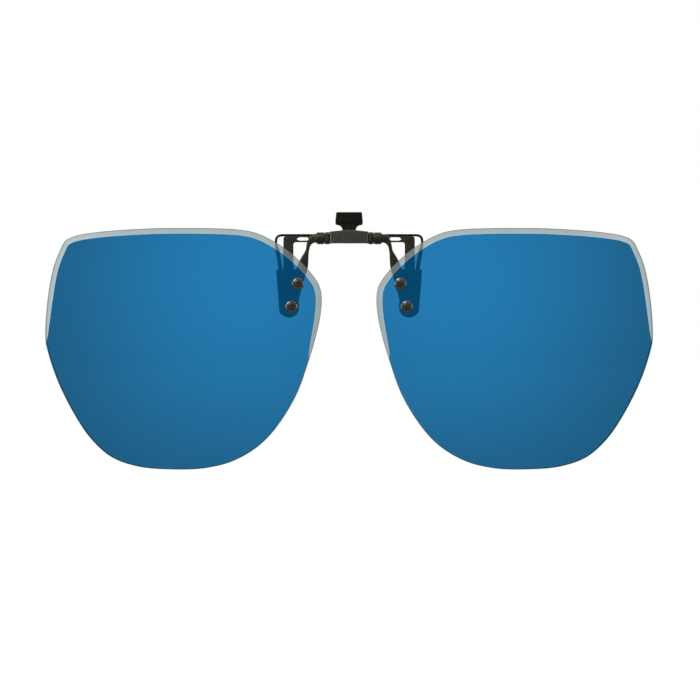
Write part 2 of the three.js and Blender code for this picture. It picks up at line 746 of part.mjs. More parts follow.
/** The soft sleeve on the wire's end, with a blind bore and a round tip. */
function rearSleeve() {
  const { radius, wall, tip, top, bottom, y } = SLEEVE;
  const start = new THREE.Vector3(top.x, y, top.z);
  const end = new THREE.Vector3(bottom.x, y, bottom.z);
  const length = start.distanceTo(end);
  const bore = radius - wall;
  const profile = [
    ...dome(radius, tip, -tip - wall - PLAY), [radius, length], [bore, length], [bore, -PLAY], [0, -PLAY],
  ];
  const up = new THREE.Quaternion().setFromUnitVectors(
    new THREE.Vector3(0, 1, 0), start.clone().sub(end).normalize());
  return turnedAboutY(profile, 16).applyQuaternion(up).translate(end.x, end.y, end.z);
}

// ---------------------------------------------------------------- assembly

function part(name, geometry, surface) {
  const mesh = new THREE.Mesh(geometry, finish(...surface));
  mesh.name = name;
  return mesh;
}

/** A screw with its washer and nut, seated square to the lens. */
function fastener(name, offset) {
  const set = new THREE.Group();
  set.add(
    part(`${name}_screw`, screw(), SCREW_STEEL),
    part(`${name}_washer`, screwWasher(), SCREW_STEEL),
    part(`${name}_nut`, screwNut(), SCREW_STEEL));
  set.position.copy(offset);
  return set;
}

/** All the pieces that come in pairs, drawn for the wearer's left and mirrored for the right. */
function side(name, mirror) {
  const half = new THREE.Group();
  half.add(
    part(`${name}_lens`, lens(), MIRROR_BLUE),
    part(`${name}_lens_arm`, lensArm(), OLIVE_STEEL),
    part(`${name}_detent_collar`, detentCollar(), GUNMETAL),
    part(`${name}_wave_washer`, waveWasher(), GUNMETAL),
    part(`${name}_front_claw`, frontClaw(), OLIVE_STEEL),
    part(`${name}_front_pad`, frontPad(), SOFT_BLACK),
    part(`${name}_claw_rivet`, clawRivet(), GUNMETAL),
    part(`${name}_rear_sleeve`, rearSleeve(), SOFT_BLACK));
  const seat = new THREE.Group();
  seat.applyMatrix4(seatMatrix());
  seat.add(
    fastener(`${name}_upper`, SCREW_OFFSETS.upper),
    fastener(`${name}_lower`, SCREW_OFFSETS.lower));
  half.add(seat);
  half.scale.x = mirror;
  return half;
}

function build() {
  const clip = new THREE.Group();
  clip.add(
    part('saddle_plate', saddlePlate(), GUNMETAL),
    part('front_thumb_cap', frontThumbCap(), BLACK_PLASTIC),
    part('axle_pin', axlePin(), SCREW_STEEL),
    part('torsion_spring', torsionSpring(), SPRING_STEEL),
    part('rear_lever', rearLever(), GUNMETAL),
    part('rear_thumb_pad', rearThumbPad(), BLACK_PLASTIC),
    part('rear_claw_wire', rearClawWire(), BLACK_STEEL),
    side('left', 1),
    side('right', -1));
  clip.position.set(0, -GRIP_POINT.y, -GRIP_POINT.z);
  const model = new THREE.Group();
  model.add(clip);
  return model;
}

export default build();
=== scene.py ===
import json
import math

import bmesh
import bpy
import numpy as np
from mathutils import Matrix, Vector, geometry

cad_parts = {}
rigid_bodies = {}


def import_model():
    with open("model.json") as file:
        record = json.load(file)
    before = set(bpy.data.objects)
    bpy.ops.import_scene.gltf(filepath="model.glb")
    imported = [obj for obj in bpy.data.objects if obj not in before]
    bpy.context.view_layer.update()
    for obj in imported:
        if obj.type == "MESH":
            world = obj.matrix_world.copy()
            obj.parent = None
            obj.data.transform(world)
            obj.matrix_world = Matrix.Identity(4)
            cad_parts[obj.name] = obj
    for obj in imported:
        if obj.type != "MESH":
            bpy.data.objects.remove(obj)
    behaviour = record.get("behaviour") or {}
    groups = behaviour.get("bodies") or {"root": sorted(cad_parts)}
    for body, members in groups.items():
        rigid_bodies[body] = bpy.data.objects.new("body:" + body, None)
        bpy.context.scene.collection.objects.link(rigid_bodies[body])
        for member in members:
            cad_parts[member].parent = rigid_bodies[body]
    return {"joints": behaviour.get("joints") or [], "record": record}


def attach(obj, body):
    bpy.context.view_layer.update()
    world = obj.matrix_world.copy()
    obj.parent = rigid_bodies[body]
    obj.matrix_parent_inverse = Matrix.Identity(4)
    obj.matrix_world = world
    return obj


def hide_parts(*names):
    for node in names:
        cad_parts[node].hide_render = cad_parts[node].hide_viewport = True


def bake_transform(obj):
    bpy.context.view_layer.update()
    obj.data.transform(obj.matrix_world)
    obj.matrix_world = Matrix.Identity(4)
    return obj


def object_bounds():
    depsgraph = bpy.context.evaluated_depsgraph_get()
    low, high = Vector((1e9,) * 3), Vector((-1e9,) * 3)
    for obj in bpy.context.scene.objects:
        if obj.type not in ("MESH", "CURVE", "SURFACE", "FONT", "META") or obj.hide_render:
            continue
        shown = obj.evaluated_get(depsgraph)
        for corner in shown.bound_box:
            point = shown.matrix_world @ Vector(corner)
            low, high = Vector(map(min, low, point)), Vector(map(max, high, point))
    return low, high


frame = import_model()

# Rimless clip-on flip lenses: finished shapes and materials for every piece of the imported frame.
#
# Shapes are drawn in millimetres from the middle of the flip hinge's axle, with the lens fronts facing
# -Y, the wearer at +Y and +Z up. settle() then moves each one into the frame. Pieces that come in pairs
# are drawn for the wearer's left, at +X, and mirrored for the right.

CAD_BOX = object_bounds()
MM = 0.001
AXLE_PLACE = Vector(frame["joints"][0]["pos_m"])
BODIES = frame["record"]["behaviour"]["bodies"]
BODY_OF = {node: body for body, nodes in BODIES.items() for node in nodes}
SLOT_OF = {part["node"]: part["material_slot"] for part in frame["record"]["subparts"]}

# ---------------- driving dimensions, in millimetres

LENS_MIDDLE = (36, -24)
LENS_RADIUS = 200
LENS_THICKNESS = 2
FACET_WIDTH = 1.33
FACET_DEPTH = 0.9
EDGE_BREAK = 0.12
# The facet narrows between these heights, down the nose side and down the temple side.
NOSE_FADE = (-11, -26)
TEMPLE_FADE = (-11, -22.5)
# Clockwise from the nose: nose corner, inner slope, top, temple, lower curve.
LENS_OUTLINE = [
    (5.95, -13.2), (6.35, -10.7), (7.6, -8.5), (11.7, -4.1), (16.1, -0.9), (20.2, 1.05), (23.9, 1.75),
    (30, 2.05), (37, 2.1), (43.4, 2.0), (55.2, 1.2), (59.8, 0.4), (61.8, -0.6), (63, -2.8), (64.35, -6.4),
    (65.6, -13.6), (66, -20.9), (65.75, -23.2), (63.3, -30.9), (58.9, -39.5), (55.6, -44.1), (51.4, -47.7),
    (45.6, -49.7), (38, -50.3), (31.1, -50), (24.7, -48.3), (18.2, -44), (12, -35.3), (8.7, -26.6),
    (6.4, -17.9),
]

UPPER_SCREW = (11.3, -10.15)
LOWER_SCREW = (12.7, -15.15)
SEAT = ((UPPER_SCREW[0] + LOWER_SCREW[0]) / 2, (UPPER_SCREW[1] + LOWER_SCREW[1]) / 2)
SEAT_Y = -1.25
FIT_GAP = 0.07
SCREW_HOLE = 0.78
SCREW_SHANK = 0.6
# Radius, then height or thickness.
SCREW_HEAD = (0.88, 0.6)
WASHER = (1.35, 0.25)
NUT = (1.2, 0.85)
NUT_BORE = 0.7
TONGUE = {"half_width": 1.25, "thickness": 0.8, "top": 4.9, "bottom": 3.9, "gap": 0.12}

AXLE_RADIUS = 0.42
AXLE_HALF = 6.8
AXLE_BORE = 0.55

# The arm's neck: its middle, and half its size across and through.
ARM_NECK = [
    (7.2, 0, 0, 0.93, 0.6), (8, 0, -0.3, 0.85, 0.55), (8.75, -0.02, -1.25, 0.5, 0.5),
    (9.12, -0.05, -2.7, 0.4, 0.45), (9.6, -0.1, -4.3, 0.78, 0.4), (10.1, -0.12, -6.1, 1.15, 0.38),
    (10.7, -0.2, -8, 1.2, 0.36),
]

SHEET = 0.4
SADDLE_HALF = 4.2
SADDLE_FRONT = -1.45
SADDLE_REAR = 1.35
FOLD_RADIUS = 0.46

CLAW_FRONT = 1.5
CLAW_SHEET = 0.5
RIVET = (3.2, -0.22)
RIVET_HOLE = 0.3
PAD_MIDDLE = (13.15, -15.1)
PAD_FRONT = 1.05
PAD_DEPTH = 1.4

LEVER_HALF = 2.4
LEVER_REAR = 3.4
WIRE_RADIUS = 0.275
WIRE_HOLE = 0.34
WIRE_Y = 2.55
WIRE_Z = 0.8
SLEEVE_TOP = Vector((15.2, 5.5, -6.7))
SLEEVE_END = Vector((14.46, 5.5, -16))
SLEEVE_RADIUS = 0.95

SPRING_COIL = 0.76
SPRING_WIRE = 0.16
SPRING_TURNS = 5
SPRING_HALF = 1.6

# ---------------- points and outlines


def between(a, b, start, end, u):
    """The point for u on the line that is at a where u is start and at b where u is end."""
    return (end - u) / (end - start) * a + (u - start) / (end - start) * b


def spline(points, count, closed=False, fineness=40):
    """A centripetal Catmull-Rom curve through points, as count points at even steps along the curve."""
    knots = np.array(points, float)
    if closed:
        knots = np.vstack([knots[-1], knots, knots[:2]])
    else:
        knots = np.vstack([2 * knots[0] - knots[1], knots, 2 * knots[-1] - knots[-2]])
    fine = []
    for p in zip(knots, knots[1:], knots[2:], knots[3:]):
        t = [0.0]
        for a, b in zip(p, p[1:]):
            t.append(t[-1] + np.linalg.norm((b - a)[:3]) ** 0.5)
        for u in np.linspace(t[1], t[2], fineness, endpoint=False):
            a1, a2, a3 = (between(p[i], p[i + 1], t[i], t[i + 1], u) for i in range(3))
            b1 = between(a1, a2, t[0], t[2], u)
            b2 = between(a2, a3, t[1], t[3], u)
            fine.append(between(b1, b2, t[1], t[2], u))
    fine.append(knots[-2])
    return evenly(np.array(fine), count, closed)


def evenly(path, count, closed=False):
    """The same path as count points at even distances; a closed one doesn't repeat its first point."""
    steps = np.linalg.norm(np.diff(path[:, :3], axis=0), axis=1)
    along = np.concatenate([[0], np.cumsum(steps)])
    wanted = np.linspace(0, along[-1], count, endpoint=not closed)
    return np.stack([np.interp(wanted, along, column) for column in path.T], axis=1)


def arc(middle, radius, start, end, steps=16):
    """Points on an arc, in degrees, both ends included."""
    turns = [math.radians(a) for a in np.linspace(start, end, steps + 1)]
    return [(middle[0] + radius * math.cos(a), middle[1] + radius * math.sin(a)) for a in turns]


def circle(middle, radius, count):
    """Points round a whole circle, without its first one again at the end."""
    return arc(middle, radius, 0, 360 - 360 / count, count - 1)


def bezier(*controls, steps=12):
    """Points on a quadratic or cubic curve, without its last one."""
    points = []
    for t in np.linspace(0, 1, steps, endpoint=False):
        layer = [np.array(c, float) for c in controls]
        while len(layer) > 1:
            layer = [(1 - t) * a + t * b for a, b in zip(layer, layer[1:])]
        points.append(layer[0])
    return points


def rounded(points, radius, steps=4, closed=True):
    """An outline with its corners rounded, each by radius or by what its shorter side leaves room for."""
    pts = [np.array(p, float) for p in points]
    out = []
    for i, corner in enumerate(pts):
        if not closed and i in (0, len(pts) - 1):
            out.append(corner)
            continue
        before, after = pts[i - 1] - corner, pts[(i + 1) % len(pts)] - corner
        reach = min(radius, 0.45 * np.linalg.norm(before), 0.45 * np.linalg.norm(after))
        start = corner + before / np.linalg.norm(before) * reach
        end = corner + after / np.linalg.norm(after) * reach
        out += [*bezier(start, corner, end, steps=steps), end]
    return out


def inwards(loop, longest=2.5):
    """For each point of a counter-clockwise loop, the step that moves both its sides inwards by one."""
    loop = np.array(loop, float)
    before = loop - np.roll(loop, 1, axis=0)
    before /= np.linalg.norm(before, axis=1, keepdims=True)
    after = np.roll(before, -1, axis=0)
    turned = [np.stack([-d[:, 1], d[:, 0]], axis=1) for d in (before, after)]
    share = 1 + (turned[0] * turned[1]).sum(1, keepdims=True)
    return (turned[0] + turned[1]) / np.maximum(share, 1 / longest)


def area(loop):
    """The loop's area, less than 0 where it runs clockwise."""
    x, y = np.array(loop, float).T
    return 0.5 * float((x * np.roll(y, -1) - np.roll(x, -1) * y).sum())


# ---------------- meshes


def mesh_object(name, points, faces):
    mesh = bpy.data.meshes.new(name)
    mesh.from_pydata([tuple(map(float, p)) for p in points], [], faces)
    mesh.update()
    obj = bpy.data.objects.new(name, mesh)
    bpy.context.scene.collection.objects.link(obj)
    return obj


def edit(obj, change):
    """Runs change on the object's mesh as a bmesh."""
    bm = bmesh.new()
    bm.from_mesh(obj.data)
    change(bm)
    bm.to_mesh(obj.data)
    bm.free()
    obj.data.update()


def tidy(bm):
    """Joins points that coincide and turns every face outwards."""
    bmesh.ops.remove_doubles(bm, verts=bm.verts, dist=1e-4)
    bmesh.ops.recalc_face_normals(bm, faces=bm.faces)


def closed_body(name, points, faces):
    obj = mesh_object(name, points, faces)
    edit(obj, tidy)
    return obj


def apply_modifiers(obj):
    """Replaces the object's mesh by what its modifiers make of it."""
    bpy.context.view_layer.update()
    graph = bpy.context.evaluated_depsgraph_get()
    finished = bpy.data.meshes.new_from_object(obj.evaluated_get(graph))
    old = obj.data
    obj.modifiers.clear()
    obj.data = finished
    bpy.data.meshes.remove(old)


def combine(obj, tools, operation):
    """Joins, cuts or intersects the object with each tool, and deletes the tools."""
    for tool in tools:
        modifier = obj.modifiers.new(operation, "BOOLEAN")
        modifier.operation = operation
        modifier.solver = "EXACT"
        modifier.object = tool
    apply_modifiers(obj)
    for tool in tools:
        bpy.data.objects.remove(tool)
    return obj


def cut(obj, *tools):
    return combine(obj, tools, "DIFFERENCE")


def corners(obj):
    """The lowest and highest corners of the object's mesh."""
    points = np.array([v.co for v in obj.data.vertices])
    return points.min(axis=0), points.max(axis=0)


def melt(obj, others, voxel, smoothing):
    """One moulded body from several that overlap, with soft inner corners and its size kept."""
    combine(obj, others, "UNION")
    low, high = corners(obj)
    remesh = obj.modifiers.new("remesh", "REMESH")
    remesh.mode = "VOXEL"
    remesh.voxel_size = voxel
    smooth = obj.modifiers.new("smooth", "SMOOTH")
    smooth.factor = 0.5
    smooth.iterations = smoothing
    apply_modifiers(obj)
    shrunk_low, shrunk_high = corners(obj)
    for vertex in obj.data.vertices:
        share = (np.array(vertex.co) - shrunk_low) / (shrunk_high - shrunk_low)
        vertex.co = low + share * (high - low)


def ring_faces(first, second, count):
    """Quads between two rings of count points that start at those numbers."""
    pairs = [(i, (i + 1) % count) for i in range(count)]
    return [(first + i, first + following, second + following, second + i) for i, following in pairs]


def lathe(name, profile, segments=48, along="Y"):
    """A solid of revolution from (radius, height) pairs; one that keeps off the axis closes on itself."""
    points, faces, rings = [], [], []
    for radius, height in profile:
        rings.append(len(points))
        turns = 1 if radius < 1e-9 else segments
        for i in range(turns):
            angle = 2 * math.pi * i / segments
            u, v = radius * math.cos(angle), radius * math.sin(angle)
            points.append((height, u, v) if along == "X" else (v, height, u))
    sizes = [b - a for a, b in zip(rings, [*rings[1:], len(points)])]
    pairs = list(zip(rings, rings[1:], sizes, sizes[1:]))
    if sizes[0] > 1:
        pairs.append((rings[-1], rings[0], sizes[-1], sizes[0]))
    for a, b, size_a, size_b in pairs:
        if size_a > 1 and size_b > 1:
            faces += ring_faces(a, b, segments)
        elif size_a > 1:
            faces += [(a + i, a + (i + 1) % segments, b) for i in range(segments)]
        elif size_b > 1:
            faces += [(a, b + (i + 1) % segments, b + i) for i in range(segments)]
    return closed_body(name, points, faces)


def cylinder(name, radius, low, high, segments=48, along="Y"):
    return lathe(name, [(0, low), (radius, low), (radius, high), (0, high)], segments, along)


def loft(name, rings):
    """A closed body through rings that all have the same number of points."""
    sides = len(rings[0])
    faces = []
    for i in range(1, len(rings)):
        faces += ring_faces((i - 1) * sides, i * sides, sides)
    last = (len(rings) - 1) * sides
    faces += [tuple(range(sides)), tuple(range(last, last + sides))]
    return closed_body(name, [point for ring in rings for point in ring], faces)


def round_ring(middle, radius, across, up, sides):
    """Points on a circle in the plane of two unit vectors."""
    turns = [2 * math.pi * k / sides for k in range(sides)]
    return [middle + radius * (math.cos(a) * across + math.sin(a) * up) for a in turns]


def sweep(name, path, radius, sides=16):
    """A round wire along a path, closed at both ends."""
    path = [Vector(p) for p in path]
    along = [(b - a).normalized() for a, b in zip(path, path[1:])]
    along = [along[0], *[(a + b).normalized() for a, b in zip(along, along[1:])], along[-1]]
    across = along[0].orthogonal().normalized()
    rings = []
    for place, direction in zip(path, along):
        across = (across - direction * across.dot(direction)).normalized()
        rings.append(round_ring(place, radius, across, direction.cross(across), sides))
    return loft(name, rings)


def plate(name, outline, front, thickness, holes=(), edge=0.06, steps=3, facing="Y"):
    """A flat plate with round edges, from front to front + thickness, with its outline in XZ or in YZ."""
    loops = [np.array(loop, float) for loop in (outline, *holes)]
    loops = [loop if (area(loop) > 0) == (i == 0) else loop[::-1] for i, loop in enumerate(loops)]
    turns = [math.radians(90 * k / steps) for k in range(steps + 1)]
    profile = [(edge * (1 - math.sin(a)), edge * (1 - math.cos(a))) for a in turns]
    profile += [(inset, thickness - depth) for inset, depth in reversed(profile)]
    points, faces, first_rings, last_rings = [], [], [], []
    for loop in loops:
        inward = inwards(loop)
        for k, (inset, depth) in enumerate(profile):
            start = len(points)
            moved = loop + inset * inward
            points += [(front + depth, u, v) if facing == "X" else (u, front + depth, v) for u, v in moved]
            if k:
                faces += ring_faces(start - len(loop), start, len(loop))
            if k in (0, len(profile) - 1):
                (first_rings if k == 0 else last_rings).append(range(start, start + len(loop)))
    for rings in (first_rings, last_rings):
        numbers = [n for ring in rings for n in ring]
        flat = [[Vector(points[n]) for n in ring] for ring in rings]
        faces += [tuple(numbers[i] for i in triangle) for triangle in geometry.tessellate_polygon(flat)]
    return closed_body(name, points, faces)


def box(name, low, high):
    points = [(x, y, z) for x in (low[0], high[0]) for y in (low[1], high[1]) for z in (low[2], high[2])]
    faces = [(0, 1, 3, 2), (4, 6, 7, 5), (0, 4, 5, 1), (2, 3, 7, 6), (0, 2, 6, 4), (1, 5, 7, 3)]
    return mesh_object(name, points, faces)


def fold(obj, straights, face_y, towards, cuts=6):
    """Folds a flat sheet, drawn in XZ with its outer face at y = 0, back on both sides by right angles.

    straights are the lengths of the flat stretches from the middle outwards; each bend between them has
    FOLD_RADIUS outside. The middle comes to lie at face_y, and towards is the sign of Y of the sides.
    """
    bend = FOLD_RADIUS * math.pi / 2
    stops, s = [], 0
    for length in straights[:-1]:
        stops += [s + length + bend * k / cuts for k in range(cuts + 1)]
        s += length + bend

    def slice_bends(bm):
        for stop in (sign * s for s in stops for sign in (1, -1)):
            whole = bm.verts[:] + bm.edges[:] + bm.faces[:]
            bmesh.ops.bisect_plane(bm, geom=whole, dist=1e-5, plane_co=(stop, 0, 0), plane_no=(1, 0, 0))
        bmesh.ops.triangulate(bm, faces=[f for f in bm.faces if len(f.verts) > 4])

    def place(x, depth):
        left, at, heading = abs(x), Vector((0, 0)), 0.0
        for i, length in enumerate(straights):
            last = i == len(straights) - 1
            walked = left if last else min(left, length)
            at += walked * Vector((math.cos(heading), math.sin(heading)))
            left -= walked
            if last or left <= 0:
                break
            turned = min(left / FOLD_RADIUS, math.pi / 2)
            middle = at + FOLD_RADIUS * Vector((-math.sin(heading), math.cos(heading)))
            heading += turned
            at = middle - FOLD_RADIUS * Vector((-math.sin(heading), math.cos(heading)))
            left -= turned * FOLD_RADIUS
            if left <= 1e-9:
                break
        at += depth * Vector((-math.sin(heading), math.cos(heading)))
        return math.copysign(at.x, x) if x else at.x, at.y

    edit(obj, slice_bends)
    for vertex in obj.data.vertices:
        x, y = place(vertex.co.x, vertex.co.y)
        vertex.co.x = x
        vertex.co.y = face_y + towards * y
    edit(obj, tidy)
    return obj


def folded_sheet(node, half, holes, straights, face_y, towards):
    """Settles a sheet cut flat from half an outline and half its holes, (x, z, radius, count), and folded."""
    outline = rounded(half, 0.12, 3, closed=False)
    outline += [(-x, z) for x, z in reversed(outline)]
    bores = [circle((sign * x, z), radius, count) for sign in (1, -1) for x, z, radius, count in holes]
    sheet = plate(f"{node}_shape", outline, 0, SHEET, bores, 0.07)
    settle(fold(sheet, straights, face_y, towards), node, 30)


def mirrored(obj, name):
    """A copy of a piece, mirrored for the wearer's right."""
    mesh = obj.data.copy()
    mesh.name = name
    mesh.transform(Matrix.Scale(-1, 4, (1, 0, 0)))
    mesh.flip_normals()
    copy = bpy.data.objects.new(name, mesh)
    bpy.context.scene.collection.objects.link(copy)
    return copy


def shade(obj, sharp):
    """Smooth shading, with an edge kept sharp where its two faces meet at more than sharp degrees."""
    limit = math.radians(sharp)

    def mark(bm):
        for face in bm.faces:
            face.smooth = True
        for edge in bm.edges:
            edge.smooth = len(edge.link_faces) == 2 and edge.calc_face_angle(0) < limit

    edit(obj, mark)


def settle(obj, node, sharp=38):
    """Moves a finished piece into the frame, where it stands for its CAD node and takes its finish."""
    shade(obj, sharp)
    obj.data.transform(Matrix.Translation(AXLE_PLACE) @ Matrix.Scale(MM, 4))
    if not obj.data.materials or obj.data.materials[0] is None:
        obj.data.materials.clear()
        obj.data.materials.append(FINISHES[SLOT_OF[node]])
    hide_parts(node)
    if node != "torsion_spring":
        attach(obj, BODY_OF[node])
    return obj


def settle_pair(obj, kind, sharp=38):
    """Settles the left piece and a mirror image of it for the right."""
    other = mirrored(obj, obj.name.replace("left", "right"))
    return settle(obj, f"left_{kind}", sharp), settle(other, f"right_{kind}", sharp)


# ---------------- materials


def scaled(colour, factor):
    return tuple(factor * c for c in colour)


class Nodes:
    """The nodes of a material or a world, with short calls for the ones that they share."""

    def __init__(self, owner):
        owner.use_nodes = True
        self.tree = owner.node_tree

    def add(self, kind, settings=(), **sockets):
        node = self.tree.nodes.new("ShaderNode" + kind)
        for key, value in dict(settings).items():
            setattr(node, key, value)
        for key, value in sockets.items():
            self.feed(node.inputs[key.replace("_", " ")], value)
        return node

    def feed(self, socket, value):
        if isinstance(value, bpy.types.NodeSocket):
            self.tree.links.new(value, socket)
        elif isinstance(value, tuple) and socket.type == "RGBA":
            socket.default_value = (*value, 1)
        else:
            socket.default_value = value

    def math(self, operation, a, b=0.0):
        node = self.add("Math", {"operation": operation})
        self.feed(node.inputs[0], a)
        self.feed(node.inputs[1], b)
        return node.outputs[0]

    def times(self, a, b):
        return self.math("MULTIPLY", a, b)

    def ramp(self, value, low, high, to_low=0.0, to_high=1.0, smooth=False):
        """to_low where the value is low, to_high where it is high, and nothing beyond those."""
        kind = "SMOOTHSTEP" if smooth else "LINEAR"
        node = self.add("MapRange", {"interpolation_type": kind}, Value=value)
        for key, number in (("From Min", low), ("From Max", high), ("To Min", to_low), ("To Max", to_high)):
            node.inputs[key].default_value = number
        return node.outputs["Result"]


class Finish(Nodes):
    """A material's nodes, drawn on the object's own coordinates."""

    def __init__(self, name):
        self.material = bpy.data.materials.new(name)
        super().__init__(self.material)
        self.surface = self.tree.nodes["Principled BSDF"]
        self.output = self.tree.nodes["Material Output"]
        self.place = self.add("TexCoord").outputs["Object"]

    def noise(self, size, detail=3.0, stretch=(1, 1, 1), roughness=0.55):
        """Noise with features of that size in millimetres, longer along an axis whose stretch is over 1."""
        mapping = self.add("Mapping", Vector=self.place)
        mapping.inputs["Scale"].default_value = [1 / (size * MM * s) for s in stretch]
        sockets = {"Vector": mapping.outputs[0], "Scale": 1.0, "Detail": detail, "Roughness": roughness}
        return self.add("TexNoise", **sockets).outputs["Fac"]

    def mix(self, factor, a, b):
        node = self.add("Mix", {"data_type": "RGBA"})
        self.feed(node.inputs["Factor"], factor)
        for index, value in ((6, a), (7, b)):
            self.feed(node.inputs[index], value)
        return node.outputs[2]

    def bump(self, height, depth, before=None):
        """A bump of that depth in millimetres, on top of the one before."""
        node = self.add("Bump", Height=height, Strength=1.0, Distance=depth * MM)
        if before is not None:
            self.feed(node.inputs["Normal"], before)
        return node.outputs["Normal"]

    def edges(self, low, high):
        """Near 1 along outer edges and near 0 elsewhere."""
        return self.ramp(self.add("NewGeometry").outputs["Pointiness"], low, high)

    def set(self, **sockets):
        for key, value in sockets.items():
            self.feed(self.surface.inputs[key.replace("_", " ")], value)


def steel(name, base, bright, roughness, grain, metallic, wear, scratches):
    """Plated or bare metal: clouded colour, a grain along one axis, stray scratches and worn edges."""
    f = Finish(name)
    clouds = f.noise(1.6, 4)
    colour = f.mix(f.ramp(clouds, 0.35, 0.7), base, scaled(base, 1.25))
    fine = f.noise(0.07, 2, grain)
    colour = f.mix(f.ramp(fine, 0.35, 0.75, 0, 0.5), colour, scaled(base, 1.6))
    lines = f.math("ABSOLUTE", f.math("SUBTRACT", f.noise(0.3, 0, (9, 1, 2)), 0.5))
    scratch = f.times(f.ramp(lines, 0.01, 0.0), f.ramp(f.noise(0.8, 2), 0.55, 0.65))
    colour = f.mix(f.times(scratch, scratches), colour, bright)
    worn = f.times(f.edges(0.51, 0.58), f.ramp(f.noise(0.5, 4), 0.4, 0.62))
    colour = f.mix(f.times(worn, wear), colour, bright)
    rough = f.ramp(fine, 0.3, 0.75, roughness - 0.07, roughness + 0.1)
    rough = f.math("ADD", rough, f.ramp(clouds, 0.3, 0.7, -0.04, 0.05))
    rough = f.math("SUBTRACT", rough, f.times(worn, 0.1))
    normal = f.bump(scratch, -0.004, f.bump(fine, 0.004, f.bump(clouds, 0.01)))
    f.set(Base_Color=colour, Roughness=rough, Normal=normal, Metallic=metallic)
    return f.material


def moulded(name, base, roughness, grain, depth, pale):
    """A dark moulded plastic or rubber: fine grain, faint clouds, rubbed edges and a little dust."""
    f = Finish(name)
    clouds = f.noise(0.9, 4)
    colour = f.mix(f.ramp(clouds, 0.3, 0.7), base, scaled(base, 1.6))
    rubbed = f.times(f.edges(0.51, 0.6), f.ramp(f.noise(0.35, 3), 0.35, 0.65))
    colour = f.mix(f.times(rubbed, 0.55), colour, pale)
    dust = f.ramp(f.noise(0.12, 1), 0.7, 0.78)
    colour = f.mix(f.times(dust, 0.25), colour, pale)
    skin = f.noise(grain, 3, roughness=0.6)
    rough = f.ramp(skin, 0.3, 0.7, roughness - 0.07, roughness + 0.07)
    rough = f.math("ADD", rough, f.ramp(clouds, 0.3, 0.7, -0.05, 0.05))
    f.set(Base_Color=colour, Roughness=rough, Normal=f.bump(skin, depth), Specular_IOR_Level=0.14)
    return f.material


def painted_lens_shade(f):
    """Painted shading over a lens: 0 where its painted light is brightest, towards the nose and the top, and
    1 in the painted shade at its outer lower edge.
    """
    bright_x, bright_z, reach = 22, -8, 62
    axes = f.add("SeparateXYZ", Vector=f.place)
    across = f.math("SUBTRACT", f.math("ABSOLUTE", axes.outputs["X"]), bright_x * MM)
    up = f.math("SUBTRACT", axes.outputs["Z"], AXLE_PLACE.z + bright_z * MM)
    square = f.math("ADD", f.times(across, across), f.times(up, up))
    return f.ramp(f.math("SQRT", square), 0, reach * MM, smooth=True)


def see_through(f, share, tint):
    """Lets the surface show through: share is how much of it is solid and tint colours what is behind."""
    clear = f.add("BsdfTransparent", Color=tint)
    mixed = f.add("MixShader")
    f.feed(mixed.inputs[0], share)
    f.tree.links.new(clear.outputs[0], mixed.inputs[1])
    f.tree.links.new(f.surface.outputs[0], mixed.inputs[2])
    f.tree.links.new(mixed.outputs[0], f.output.inputs["Surface"])
    return f.material


# Each at its brightest and at a lens's outer lower edge: painted light and painted shade of the same mirror.
MIRROR_REFLECTED = ((0.0083, 0.254, 0.625), (0.006, 0.126, 0.283))
MIRROR_PASSED = ((0.0425, 0.36, 0.76), (0.0306, 0.179, 0.344))
MIRROR_SHARE = 0.6


def mirror_coating(name, shade_by=1.0):
    """The blue mirror on a lens's front: a coloured reflection over a tinted see-through body, with painted
    shade darkening it towards its outer lower edge; shade_by darkens the whole copy as painted shade.
    """
    f = Finish(name)
    painted_shade = painted_lens_shade(f)
    smudges = f.noise(9, 4, (1.6, 1, 1))
    specks = f.ramp(f.noise(0.25, 1), 0.74, 0.8)
    # Painted light and painted shade: both colours fade from bright near the nose and top to dark at the
    # outer lower edge.
    reflected = f.mix(painted_shade, *(scaled(colour, shade_by) for colour in MIRROR_REFLECTED))
    passed = f.mix(painted_shade, *(scaled(colour, shade_by) for colour in MIRROR_PASSED))
    rough = f.math("ADD", f.ramp(smudges, 0.35, 0.7, 0.06, 0.1), f.times(specks, 0.1))
    f.set(Base_Color=reflected, Roughness=rough, Metallic=1.0)
    return see_through(f, MIRROR_SHARE, passed)


def polished_facet(name, colour, tint):
    """A facet ground past the mirror: pale, hazy and marked by the wheel, with painted light brightening it
    towards the temple.
    """
    f = Finish(name)
    haze = f.noise(2.5, 2)
    marks = f.noise(0.09, 2, (5, 1, 5))
    across = f.math("ABSOLUTE", f.add("SeparateXYZ", Vector=f.place).outputs["X"])
    # Painted light: colour and tint grow brighter towards the temple side of the facet.
    outer = f.ramp(across, 48 * MM, 63 * MM, smooth=True)
    colour = f.mix(outer, colour, scaled(colour, 1.25))
    tint = f.mix(outer, tint, scaled(tint, 1.15))
    shown = f.mix(f.ramp(haze, 0.3, 0.7, 0, 0.08), colour, (1, 1, 1))
    rough = f.ramp(marks, 0.3, 0.7, 0.26, 0.36)
    f.set(Base_Color=shown, Roughness=rough, Normal=f.bump(marks, 0.0008), IOR=1.5)
    return see_through(f, f.ramp(haze, 0.3, 0.7, 0.34, 0.38), tint)


def lens_rear():
    """The bare rear surface: clear, with the reflection that any polished plastic has."""
    f = Finish("lens_rear")
    facing = f.add("LayerWeight", Blend=0.5).outputs["Facing"]
    share = f.math("ADD", 0.045, f.times(f.math("POWER", facing, 5), 0.9))
    wiped = f.noise(7, 4, (1, 1, 1.8))
    f.set(Base_Color=(0.8, 0.83, 0.86), Metallic=1.0, Roughness=f.ramp(wiped, 0.35, 0.7, 0.03, 0.09))
    return see_through(f, share, (0.985, 0.99, 0.995))


